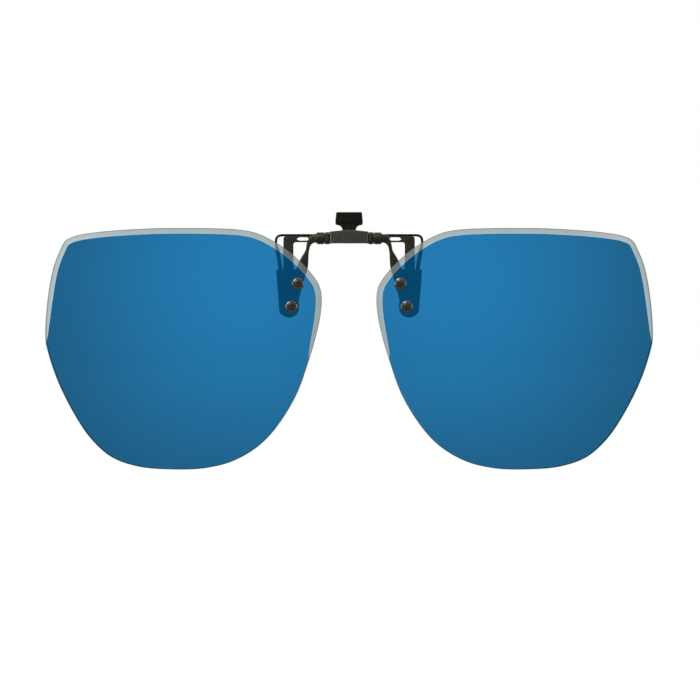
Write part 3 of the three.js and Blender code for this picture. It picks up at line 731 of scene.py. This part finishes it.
# Colour, bright colour, roughness, how the grain stretches, and how metallic, worn and scratched it is.
STEELS = {
    "olive_steel": ((0.027, 0.028, 0.017), (0.2, 0.19, 0.15), 0.4, (1, 1, 9), 0.85, 0.5, 0.2),
    "black_steel": ((0.007, 0.008, 0.005), (0.1, 0.1, 0.08), 0.36, (9, 1, 1), 0.85, 0.4, 0.2),
    "gunmetal": ((0.064, 0.065, 0.051), (0.2, 0.19, 0.17), 0.34, (12, 1, 1), 0.9, 0.15, 0.2),
    "ribbed_steel": ((0.022, 0.023, 0.014), (0.15, 0.15, 0.12), 0.42, (6, 1, 1), 0.85, 0.25, 0.1),
    "screw_steel": ((0.05, 0.043, 0.035), (0.22, 0.19, 0.16), 0.3, (1, 6, 1), 0.95, 0.4, 0.2),
    "washer_steel": ((0.1, 0.095, 0.088), (0.3, 0.29, 0.27), 0.15, (6, 1, 1), 1.0, 0.3, 0.2),
    "spring_steel": ((0.254, 0.262, 0.262), (0.6, 0.6, 0.58), 0.24, (8, 1, 1), 1.0, 0.4, 0.3),
}
# Colour, roughness, size and depth of the grain, rubbed colour.
MOULDINGS = {
    "black_plastic": ((0.0024, 0.0032, 0.0009), 0.42, 0.09, 0.006, (0.03, 0.03, 0.024)),
    "soft_vinyl": ((0.005, 0.0055, 0.004), 0.6, 0.16, 0.009, (0.03, 0.03, 0.026)),
}
FINISHES = {name: steel(name, *look) for name, look in STEELS.items()}
FINISHES |= {name: moulded(name, *look) for name, look in MOULDINGS.items()}

# ---------------- lenses

SEAT_SPAN = math.hypot(SEAT[0] - LENS_MIDDLE[0], SEAT[1] - LENS_MIDDLE[1])
LENS_VERTEX_Y = SEAT_Y - LENS_RADIUS + math.sqrt(LENS_RADIUS ** 2 - SEAT_SPAN ** 2)
MIRROR, MIRROR_SHADE_LINE, FACET_INNER, FACET_OUTER, LENS_REAR = range(5)


def lens_surface(ring, thickness=0.0):
    """Puts (x, z) points on the lens's rear surface, or on the one that lies thickness before it."""
    away = np.hypot(ring[:, 0] - LENS_MIDDLE[0], ring[:, 1] - LENS_MIDDLE[1])
    y = LENS_VERTEX_Y + LENS_RADIUS - np.sqrt(LENS_RADIUS ** 2 - away ** 2) - thickness
    return np.stack([ring[:, 0], y, ring[:, 1]], axis=1)


def facet_widths(rim):
    """How wide the facet is at each point of the rim: it narrows down the nose side and the temple side."""
    nose = rim[:, 0] < LENS_MIDDLE[0]
    start = np.where(nose, NOSE_FADE[0], TEMPLE_FADE[0])
    end = np.where(nose, NOSE_FADE[1], TEMPLE_FADE[1])
    faded = np.clip((start - rim[:, 1]) / (start - end), 0, 1)
    return EDGE_BREAK + (FACET_WIDTH - EDGE_BREAK) * np.sqrt(1 - faded ** 2)


def lens_blank(name, count=360):
    """The lens before its screw holes, in bands from the middle of its front to the middle of its rear."""
    rim = spline(LENS_OUTLINE, count, closed=True)
    inward = -inwards(rim) if area(rim) < 0 else inwards(rim)
    width = facet_widths(rim)[:, None]
    middle = np.array(LENS_MIDDLE, float)
    mirror_line, rim_bevel, rim_drop = 0.08, 0.04, 0.05
    inner_band, outer_band = 0.34, 0.97

    def facet_ring(share):
        """A ring on the facet, from its inner edge at 0 to just short of the rim at 1."""
        flat = rim + inward * (rim_bevel + (width - rim_bevel) * (1 - share))
        ring = lens_surface(flat, LENS_THICKNESS)
        ring[:, 1] += (share * FACET_DEPTH * width / FACET_WIDTH)[:, 0]
        return ring

    front_edge = rim + inward * (width + mirror_line)
    rear_edge = rim + inward * EDGE_BREAK
    side_front = lens_surface(rim, LENS_THICKNESS)
    side_front[:, 1] += (FACET_DEPTH * width / FACET_WIDTH)[:, 0] + rim_drop
    side_rear = lens_surface(rim)
    side_rear[:, 1] -= EDGE_BREAK
    shares = [0.04, 0.15, 0.28, 0.42, 0.56, 0.7, 0.83, 0.93]
    # Each ring, with the kind of surface between it and the next one.
    bands = []
    for share in shares:
        bands.append((lens_surface(middle + (front_edge - middle) * share, LENS_THICKNESS), MIRROR))
    # The thin band where the mirror meets the facet takes a darkened copy of the mirror: a painted shade
    # line.
    bands.append((lens_surface(front_edge, LENS_THICKNESS), MIRROR_SHADE_LINE))
    bands.append((facet_ring(0.0), FACET_INNER))
    for ring in (facet_ring(inner_band), facet_ring(outer_band), side_front, side_rear):
        bands.append((ring, FACET_OUTER))
    for share in [1.0, *reversed(shares)]:
        bands.append((lens_surface(middle + (rear_edge - middle) * share), LENS_REAR))
    rings = [ring for ring, _ in bands]
    points = [rings[0].mean(0), *(point for ring in rings for point in ring), rings[-1].mean(0)]
    faces = [(0, 1 + (i + 1) % count, 1 + i) for i in range(count)]
    kinds = [MIRROR] * count
    for k, (_, kind) in enumerate(bands[:-1]):
        faces += ring_faces(1 + k * count, 1 + (k + 1) * count, count)
        kinds += [kind] * count
    last = 1 + (len(rings) - 1) * count
    faces += [(last + i, last + (i + 1) % count, len(points) - 1) for i in range(count)]
    kinds += [LENS_REAR] * count
    obj = mesh_object(name, points, faces)
    for material in LENS_MATERIALS:
        obj.data.materials.append(material)
    obj.data.polygons.foreach_set("material_index", kinds)
    edit(obj, tidy)
    return obj


def seat_matrix():
    """Turns +Y to the lens's own direction where the arm is seated, with the origin on its rear surface."""
    seat = Vector((SEAT[0], SEAT_Y, SEAT[1]))
    curve_middle = Vector((LENS_MIDDLE[0], LENS_VERTEX_Y + LENS_RADIUS, LENS_MIDDLE[1]))
    turn = Vector((0, 1, 0)).rotation_difference((curve_middle - seat).normalized())
    return Matrix.Translation(seat) @ turn.to_matrix().to_4x4()


SEAT_MATRIX = seat_matrix()
SCREW_OFFSETS = {
    "upper": Vector((UPPER_SCREW[0] - SEAT[0], 0, UPPER_SCREW[1] - SEAT[1])),
    "lower": Vector((LOWER_SCREW[0] - SEAT[0], 0, LOWER_SCREW[1] - SEAT[1])),
}


def at_seat(obj, offset=Vector((0, 0, 0))):
    obj.data.transform(SEAT_MATRIX @ Matrix.Translation(offset))
    return obj


def screw_drills():
    """Tools that drill both screw holes square to the lens."""
    return [at_seat(cylinder("drill", SCREW_HOLE, -4, 4), offset) for offset in SCREW_OFFSETS.values()]


def polish(lens, side):
    """Gives the two big surfaces of a lens the normals of true spheres, so that reflections stay even."""
    middle = AXLE_PLACE + MM * Vector((side * LENS_MIDDLE[0], LENS_VERTEX_Y + LENS_RADIUS, LENS_MIDDLE[1]))
    front_middle = middle - Vector((0, LENS_THICKNESS * MM, 0))

    def on_rear_sphere(place):
        return abs((middle - place).length / MM - LENS_RADIUS) < 1e-3

    mesh = lens.data
    normals = [Vector(n.vector) for n in mesh.corner_normals]
    for polygon in mesh.polygons:
        for loop in polygon.loop_indices:
            place = mesh.vertices[mesh.loops[loop].vertex_index].co
            if polygon.material_index == MIRROR:
                normals[loop] = (place - front_middle).normalized()
            elif polygon.material_index == LENS_REAR and on_rear_sphere(place):
                normals[loop] = (middle - place).normalized()
    mesh.normals_split_custom_set([tuple(n) for n in normals])


def lenses():
    left = cut(lens_blank("left_lens_shape"), *screw_drills())
    for lens, side in zip(settle_pair(left, "lens", 30), (1, -1)):
        polish(lens, side)


# ---------------- lens arms and their fasteners


def arm_neck(name, sides=28, steps=60):
    """The arm's neck: a rounded section that narrows below the knuckle and widens into the tongue."""
    squareness = 0.62
    path = spline(ARM_NECK, steps).tolist()
    rings = []
    for i, (x, y, z, across, through) in enumerate(path):
        last, following = path[max(i - 1, 0)], path[min(i + 1, steps - 1)]
        side = Vector((following[2] - last[2], 0, last[0] - following[0])).normalized()
        ring = []
        for k in range(sides):
            angle = 2 * math.pi * k / sides
            u, v = (math.copysign(abs(w) ** squareness, w) for w in (math.cos(angle), math.sin(angle)))
            ring.append(Vector((x, y, z)) + u * across * side + Vector((0, v * through, 0)))
        rings.append(ring)
    return loft(name, rings)


def tongue(name):
    """The flat tongue behind the lens, along the line of the two screws, with a round lower end."""
    half, top, bottom = TONGUE["half_width"], TONGUE["top"], TONGUE["bottom"]
    outline = [(half, top), (-half, top), *arc((0, half - bottom), half, 180, 360, 24)]
    obj = plate(name, outline, TONGUE["gap"], TONGUE["thickness"], edge=0.1)
    down = SCREW_OFFSETS["lower"]
    obj.data.transform(Matrix.Rotation(-math.atan2(down.x, -down.z), 4, "Y"))
    return at_seat(obj)


def lens_arms():
    """Each arm is a knuckle on the axle, closed at its outer end, with its neck and its tongue."""
    start, end, radius = 5.47, 6.95, 1.32
    stub_radius, stub_start, stub_end = 0.95, 7.15, 7.5
    profile = [(0, start), (radius, start), (radius, end)]
    profile += [(stub_radius, stub_start), (stub_radius, stub_end), (0, stub_end)]
    arm = lathe("left_lens_arm_shape", rounded(profile, 0.1, 3, closed=False), 72, "X")
    melt(arm, [arm_neck("neck"), tongue("tongue")], 0.06, 2)
    cut(arm, cylinder("bore", AXLE_BORE, 5, end, along="X"), *screw_drills())
    settle_pair(arm, "lens_arm", 50)


def screw(name, slot_angle):
    """A pan-headed screw with a straight drive slot, its head towards -Y."""
    radius, height = SCREW_HEAD
    under = -LENS_THICKNESS - WASHER[1] - 2 * FIT_GAP
    end = TONGUE["gap"] + TONGUE["thickness"] + NUT[1] + FIT_GAP + 0.1
    rim, flatness, bevel, chamfer = 0.2, 0.6, 0.05, 0.1
    slot_half, slot_depth = 0.15, 0.22
    crown = []
    for a in np.linspace(0, math.pi / 2, 18):
        rise = (height - rim) * math.cos(a) ** flatness
        crown.append((radius * math.sin(a) ** flatness, under - rim - rise))
    crown[-1] = (radius, under - rim)
    shank = [(radius, under - bevel), (radius - bevel, under), (SCREW_SHANK, under)]
    shank += [(SCREW_SHANK, end - chamfer), (SCREW_SHANK - chamfer, end), (0, end)]
    body = lathe(name, crown + shank, 64)
    slot = box("slot", (-2, under - height - 1, -slot_half), (2, under - height + slot_depth, slot_half))
    slot.data.transform(Matrix.Rotation(math.radians(slot_angle), 4, "Y"))
    return cut(body, slot)


def washer(name):
    """The dished washer that shows as a pale rim round the screw's head."""
    radius, thickness = WASHER
    front = -LENS_THICKNESS - FIT_GAP - thickness
    rear = front + thickness
    dish = [(1.0, 0.0), (1.1, 0.03), (1.19, 0.075), (1.27, 0.135), (1.32, 0.19), (radius, thickness)]
    profile = [(NUT_BORE, front), *((r, front + depth) for r, depth in dish), (NUT_BORE, rear)]
    return lathe(name, profile, 64)


def nut(name):
    """A hexagonal nut with its corners turned off."""
    radius, height = NUT
    rear = TONGUE["gap"] + TONGUE["thickness"] + FIT_GAP
    body = plate(name, rounded(circle((0, 0), radius, 6), 0.08, 3), rear, height, edge=0.05)
    low, high, turned = rear - 0.01, rear + height + 0.01, 0.14
    wide, narrow = radius + 0.02, radius - 0.12
    cone = [(0, low), (narrow, low), (wide, rear + turned)]
    cone += [(wide, rear + height - turned), (narrow, high), (0, high)]
    combine(body, [lathe("cone", cone, 64)], "INTERSECT")
    return cut(body, cylinder("bore", NUT_BORE, rear - 1, rear + height + 1))


def fasteners():
    for name, angle in (("upper", 35), ("lower", -20)):
        offset = SCREW_OFFSETS[name]
        settle_pair(at_seat(screw(f"left_{name}_screw_shape", angle), offset), f"{name}_screw", 40)
        settle_pair(at_seat(washer(f"left_{name}_washer_shape"), offset), f"{name}_washer", 40)
        settle_pair(at_seat(nut(f"left_{name}_nut_shape"), offset), f"{name}_nut", 40)


# ---------------- hinge


def axle_pin():
    end, radius = AXLE_HALF, AXLE_RADIUS
    profile = rounded([(0, -end), (radius, -end), (radius, end), (0, end)], 0.08, 3, closed=False)
    settle(lathe("axle_pin_shape", profile, 48, "X"), "axle_pin")


def detent_collars():
    """Collars with rounded ribs along the axle, which the knuckles click against."""
    ribs, outer, groove, start, length = 14, 1.34, 1.16, 4.23, 1.0
    outline = []
    for angle in np.linspace(0, 2 * math.pi, ribs * 12, endpoint=False):
        wave = math.cos(ribs * angle)
        level = 0.5 + 0.5 * math.copysign(abs(wave) ** 0.5, wave)
        radius = groove + (outer - groove) * level
        outline.append((radius * math.cos(angle), radius * math.sin(angle)))
    bore = circle((0, 0), AXLE_BORE, 48)
    collar = plate("left_detent_collar_shape", outline, start, length, [bore], 0.05, 3, "X")
    collar.data.materials.append(FINISHES["ribbed_steel"])
    settle_pair(collar, "detent_collar", 45)


def wave_washers():
    """Thin spring washers, waved along their rims."""
    radius, start, thickness, waves, wave_height = 1.2, 5.3, 0.1, 3, 0.04
    outline, bore = (circle((0, 0), r, 72) for r in (radius, AXLE_BORE))
    spring_washer = plate("left_wave_washer_shape", outline, start, thickness, [bore], 0.02, 2, "X")
    for vertex in spring_washer.data.vertices:
        vertex.co.x += wave_height * math.cos(waves * math.atan2(vertex.co.z, vertex.co.y))
    spring_washer.data.materials.append(FINISHES["ribbed_steel"])
    settle_pair(spring_washer, "wave_washer")


def torsion_spring():
    """A wound spring: its front leg stays behind the saddle and its rear leg follows the lever's web."""
    start, sweep_angle = math.pi, -math.pi / 4 + math.pi + SPRING_TURNS * 2 * math.pi
    front_leg, rear_leg, bend = 1.1, 2.6, 0.1
    leg = [(-SPRING_HALF, -SPRING_COIL, z) for z in np.linspace(front_leg, bend, 8)]
    coil = []
    for share in np.linspace(0, 1, 240):
        angle = start + sweep_angle * share
        y, z = SPRING_COIL * math.cos(angle), SPRING_COIL * math.sin(angle)
        coil.append((SPRING_HALF * (2 * share - 1), y, z))
    last = np.array(coil[-1])
    rear = [last + np.array((0, 1, 1)) * math.sqrt(0.5) * s for s in np.linspace(bend, rear_leg, 16)]
    spring = settle(sweep("torsion_spring_shape", [*leg, *coil, *rear], SPRING_WIRE, 12), "torsion_spring")
    start, end = (AXLE_PLACE + Vector((sign * SPRING_HALF * MM, 0, 0)) for sign in (-1, 1))
    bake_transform(spring)


# ---------------- front half of the clip


def saddle_plate():
    """The saddle, cut flat and folded: a face with its neck, two ears on the axle and two rear flanges."""
    flange_inner = 2.6
    bend = FOLD_RADIUS * math.pi / 2
    face = SADDLE_HALF - FOLD_RADIUS
    ear = SADDLE_REAR - SADDLE_FRONT - 2 * FOLD_RADIUS
    flange = SADDLE_HALF - flange_inner - FOLD_RADIUS
    ear_start = face + bend
    axle_at = ear_start - SADDLE_FRONT - FOLD_RADIUS
    flange_start = ear_start + ear + bend
    end = flange_start + flange
    neck = [*bezier((1.95, 1.62), (1.43, 1.62), (1.43, 1.85), steps=8), (1.43, 1.85), (1.1, 2.05), (1.1, 4.8)]
    half = [(axle_at, -1.2), (flange_start - 0.2, -0.8), (end, -0.8), (end, 0.35)]
    half += [(flange_start - 0.2, 0.35), (axle_at, 1.42), (face, 1.42), *neck]
    rivet_at = flange_start + SADDLE_HALF - FOLD_RADIUS - RIVET[0]
    holes = [(axle_at, 0, AXLE_BORE, 48), (rivet_at, RIVET[1], RIVET_HOLE, 24)]
    folded_sheet("saddle_plate", half, holes, [face, ear, flange], SADDLE_FRONT, 1)


def thumb_cap(name, tab_front, tab_top):
    """A moulded cap pushed over a metal tab: a thick head over a thinner stem with a concave foot."""
    head_depth, stem_inset, tab_half, room = 1.3, 0.13, 1.2, 0.1
    head = [(2.8, 5.6), (-2.8, 5.6), (-3, 3.42), (-2.97, 3.16), (-2.65, 3.1)]
    head += [(2.65, 3.1), (2.97, 3.16), (3, 3.42)]
    foot = [*bezier((2.65, 3.1), (1.5, 2.9), (1.5, 1.95)), (1.5, 1.95)]
    stem = [(2.65, 3.4), (-2.65, 3.4), *((-x, z) for x, z in foot), *reversed(foot)]
    front = tab_front + SHEET / 2 - head_depth / 2
    body = plate(name, rounded(head, 0.3, 5), front, head_depth, edge=0.22, steps=5)
    stem_depth = head_depth - 2 * stem_inset
    melt(body, [plate("stem", stem, front + stem_inset, stem_depth, edge=0.12, steps=4)], 0.06, 3)
    low = (-tab_half, tab_front - room, 1)
    high = (tab_half, tab_front + SHEET + room, tab_top + room)
    return cut(body, box("pocket", low, high))


def claw_outline(inner, outer, top, radius):
    """The lower end of a claw or a pad, from its inner upper corner round an arc to its outer one."""
    return [(inner, top), *arc(PAD_MIDDLE, radius, 180, 360, 28), (outer, top)]


def front_claws():
    """Each claw: a slotted arm behind the saddle and knuckle, and a leg that ends inside the soft pad."""
    start, inner, outer, top, bottom, bend = 2.6, 12.2, 14.4, 0.5, -0.78, 0.6
    inner_bend = [(inner - bend, bottom), (inner, bottom), (inner, bottom - bend)]
    outer_bend = [(outer, top - bend), (outer, top), (outer - bend, top)]
    outline = [(start, top), (start, bottom), *bezier(*inner_bend, steps=6), inner_bend[-1]]
    outline += claw_outline(inner, outer, -5.5, 1.4)
    outline += [*bezier(*outer_bend, steps=6), outer_bend[-1]]
    slot = [(8.7, -0.06), (9.2, 0.3), (11.0, 0.3), (11.5, -0.06), (11.0, -0.42), (9.2, -0.42)]
    holes = [rounded(slot, 0.12, 3), circle(RIVET, RIVET_HOLE, 24)]
    claw = plate("left_front_claw_shape", outline, CLAW_FRONT, CLAW_SHEET, holes, 0.07)
    settle_pair(claw, "front_claw", 30)


def front_pads():
    """Soft pads over the ends of the claws, open at the top."""
    outline = claw_outline(11.4, 15.75, -6.7, 2.2)
    pad = plate("left_front_pad_shape", rounded(outline, 0.25, 4), PAD_FRONT, PAD_DEPTH, edge=0.3, steps=6)
    pocket_outline = [(12.1, 0), *claw_outline(12.1, 14.5, -5.5, 1.5), (14.5, 0)]
    pocket = plate("pocket", pocket_outline, CLAW_FRONT - 0.1, CLAW_SHEET + 0.2, edge=0.05)
    settle_pair(cut(pad, pocket), "front_pad", 40)


def claw_rivets():
    """Rivets with domed heads, each through a flange of the saddle and the end of a claw."""
    front = SADDLE_REAR - SHEET - FIT_GAP
    rear = CLAW_FRONT + CLAW_SHEET + FIT_GAP
    head_radius, head_height, shank = 0.44, 0.25, 0.24
    turns = np.linspace(0, math.pi / 2, 8)
    profile = [(head_radius * math.sin(a), front - head_height * math.cos(a)) for a in turns]
    profile += [(shank, front), (shank, rear)]
    profile += [(head_radius * math.cos(a), rear + head_height * math.sin(a)) for a in turns]
    profile[-1] = (0, rear + head_height)
    rivet = lathe("left_claw_rivet_shape", profile, 40)
    rivet.data.transform(Matrix.Translation((RIVET[0], 0, RIVET[1])))
    settle_pair(rivet, "claw_rivet", 45)


# ---------------- rear half of the clip


def rear_lever():
    """The lever, cut flat and folded: a web with its tab, and two cheeks forward round the axle."""
    bend = FOLD_RADIUS * math.pi / 2
    face = LEVER_HALF - FOLD_RADIUS
    cheek_start = face + bend
    axle_at = cheek_start + LEVER_REAR - FOLD_RADIUS
    cheek, cheek_radius, heel = 5, 0.95, 1.02
    half = [(cheek_start - 0.1, -0.35), (axle_at, -cheek_radius)]
    half += [(axle_at + heel, -0.85), (axle_at + heel, -0.4)]
    half += [(axle_at + x, z) for x, z in arc((0, 0), cheek_radius, 0, 72, 10)]
    half += [(cheek_start - 0.1, 1.4), (1.5, 1.4), (1.1, 1.75), (1.1, 4.6)]
    wire_at = cheek_start + LEVER_REAR - FOLD_RADIUS - WIRE_Y
    holes = [(axle_at, 0, AXLE_BORE, 48), (wire_at, WIRE_Z, WIRE_HOLE, 30)]
    folded_sheet("rear_lever", half, holes, [face, cheek], LEVER_REAR, -1)


def wire_half():
    """Half of the rear claw wire's route, from the middle out to the end of a sleeve."""
    bend, corner = Vector((14.65, WIRE_Y, WIRE_Z)), Vector((16.05, WIRE_Y, WIRE_Z))
    downwards = Vector((0, 0.08, -1))
    after, lower = corner + 1.3 * downwards, corner + 3.4 * downwards
    above = SLEEVE_TOP.lerp(SLEEVE_END, -0.2)
    route = [(0, WIRE_Y, WIRE_Z), *bezier(bend, corner, after, steps=30)]
    route += [*bezier(after, lower, above, SLEEVE_TOP, steps=40), SLEEVE_TOP, SLEEVE_END]
    return [tuple(p) for p in route]


def rear_claw_wire():
    half = wire_half()
    route = [(-x, y, z) for x, y, z in reversed(half)] + half[1:]
    path = evenly(np.array(route), 420)
    settle(sweep("rear_claw_wire_shape", path, WIRE_RADIUS, 24), "rear_claw_wire", 60)


def drawn_up(name, rings=40, sides=32):
    """The thin skin that a dipped sleeve leaves on the wire above it, thicker towards the sleeve."""
    start_z, skin, sunk, sag = -1.6, 0.19, 0.02, 0.16
    flare, flare_share = 0.5, 0.14
    path = [Vector(p) for p in wire_half() if p[2] < start_z]
    top, bottom = path[0], SLEEVE_TOP + 0.5 * (SLEEVE_END - SLEEVE_TOP).normalized()
    path = [Vector(p) for p in evenly(np.array([*path[:-1], bottom]), rings).tolist()]
    made = []
    for i, place in enumerate(path):
        share = (top.z - place.z) / (top.z - bottom.z)
        grown = min(1, 8 * share)
        flared = max(0, (share - (1 - flare_share)) / flare_share) ** 1.6
        radius = WIRE_RADIUS - sunk + skin * grown + flare * flared
        place = place - Vector((sag * grown * (1 - share), 0, 0))
        along = (path[min(i + 1, rings - 1)] - path[max(i - 1, 0)]).normalized()
        across = along.cross(Vector((0, 1, 0))).normalized()
        made.append(round_ring(place, radius, across, along.cross(across), sides))
    return loft(name, made)


def rear_sleeves():
    """Soft sleeves dipped onto the wire's ends, each with a round shoulder and a round tip."""
    length = (SLEEVE_TOP - SLEEVE_END).length
    bore = SLEEVE_RADIUS - 0.6
    tip = [(SLEEVE_RADIUS * math.sin(a), 0.3 - math.cos(a)) for a in np.linspace(0, math.pi / 2, 14)]
    mouth = [(SLEEVE_RADIUS, length - 1), (SLEEVE_RADIUS, length), (bore, length), (bore, length - 1)]
    mouth = rounded(mouth, 0.4, 6, closed=False)
    sleeve = lathe("left_rear_sleeve_shape", [*tip, *mouth, (bore, -0.1), (0, -0.1)], 48)
    turn = Vector((0, 1, 0)).rotation_difference((SLEEVE_TOP - SLEEVE_END).normalized())
    sleeve.data.transform(Matrix.Translation(SLEEVE_END) @ turn.to_matrix().to_4x4())
    combine(sleeve, [drawn_up("skin")], "UNION")
    settle_pair(sleeve, "rear_sleeve", 50)


# ---------------- stage, light and camera


def floor():
    """A plain pale floor, as bright as the air round it, so that its far edge doesn't show."""
    size, drop = 6.0, 0.025
    level = CAD_BOX[0][2] - drop
    points = [(-size, -size, level), (size, -size, level), (size, size, level), (-size, size, level)]
    obj = mesh_object("floor", points, [(0, 1, 2, 3)])
    f = Finish("pale_floor")
    f.set(Base_Color=(0.54, 0.54, 0.54), Roughness=0.9, Specular_IOR_Level=0.0, Emission_Color=(1, 1, 1))
    f.set(Emission_Strength=f.times(f.add("LightPath").outputs["Is Camera Ray"], 0.65))
    obj.data.materials.append(f.material)


def white_air():
    """White as the camera sees it; round the object, a dimmer studio with a bright ceiling and dark sides."""
    world = bpy.data.worlds.new("white_air")
    nodes = Nodes(world)
    axes = nodes.add("SeparateXYZ", Vector=nodes.add("TexCoord").outputs["Generated"])
    walls = nodes.ramp(nodes.math("ABSOLUTE", axes.outputs["Y"]), 0.35, 0.92, 0.17, 0.4, smooth=True)
    ceiling = nodes.ramp(axes.outputs["Z"], 0.35, 0.95, 0.0, 0.9, smooth=True)
    studio = nodes.math("ADD", walls, ceiling)
    background = nodes.tree.nodes["Background"]
    nodes.feed(background.inputs["Color"], (1, 1, 1))
    seen = nodes.math("MAXIMUM", nodes.add("LightPath").outputs["Is Camera Ray"], studio)
    nodes.feed(background.inputs["Strength"], seen)
    bpy.context.scene.world = world


def softbox(name, place, aim, size, power, lit):
    """An area light that lights the object only, so that the floor stays an even white."""
    data = bpy.data.lights.new(name, "AREA")
    data.shape = "RECTANGLE"
    data.size, data.size_y = size
    data.energy = power
    obj = bpy.data.objects.new(name, data)
    bpy.context.scene.collection.objects.link(obj)
    obj.location = place
    obj.rotation_euler = (Vector(aim) - Vector(place)).to_track_quat("-Z", "Y").to_euler()
    obj.light_linking.receiver_collection = lit


def lights():
    lit = bpy.data.collections.new("lit")
    for obj in bpy.context.scene.objects:
        if obj.type == "MESH" and obj.name != "floor":
            lit.objects.link(obj)
    middle = (0, 0, 0.006)
    softbox("key", (-0.25, -0.4, 0.42), middle, (0.25, 0.25), 2.2, lit)
    softbox("left_strip", (-0.5, -0.2, 0.05), middle, (0.08, 0.5), 1.3, lit)
    softbox("right_strip", (0.5, -0.2, 0.05), middle, (0.08, 0.5), 0.8, lit)
    softbox("back_rim", (0.1, 0.45, 0.35), middle, (0.4, 0.15), 1.2, lit)


def camera():
    """Square in front of the lenses, where a 100 mm lens frames the object with room on both sides."""
    data = bpy.data.cameras.new("camera")
    data.lens, data.sensor_width = 100, 36
    frame_width, plane, aim_x, aim_z = 0.1519, -0.006, 0.0002, -0.0124
    obj = bpy.data.objects.new("camera", data)
    bpy.context.scene.collection.objects.link(obj)
    obj.location = (aim_x, plane - frame_width * data.lens / data.sensor_width, aim_z)
    obj.rotation_euler = (math.pi / 2, 0, 0)
    bpy.context.scene.camera = obj
    bpy.context.scene.view_settings.view_transform = "Standard"


# ---------------- assembly

LENS_MATERIALS = [
    mirror_coating("mirror_coating"),
    # A copy of the mirror darkened to 0.45 for the thin band at its edge: a painted shade line.
    mirror_coating("mirror_edge_painted_shade", 0.45),
    polished_facet("facet_inner", (0.29, 0.4, 0.47), (0.335, 0.465, 0.535)),
    polished_facet("facet_outer", (0.33, 0.345, 0.335), (0.375, 0.45, 0.44)),
    lens_rear(),
]

camera()
floor()
white_air()
lenses()
lens_arms()
fasteners()
axle_pin()
detent_collars()
wave_washers()
torsion_spring()
saddle_plate()
settle(thumb_cap("front_thumb_cap_shape", SADDLE_FRONT, 4.8), "front_thumb_cap", 60)
front_claws()
front_pads()
claw_rivets()
rear_lever()
settle(thumb_cap("rear_thumb_pad_shape", LEVER_REAR - SHEET, 4.6), "rear_thumb_pad", 60)
rear_claw_wire()
rear_sleeves()
lights()
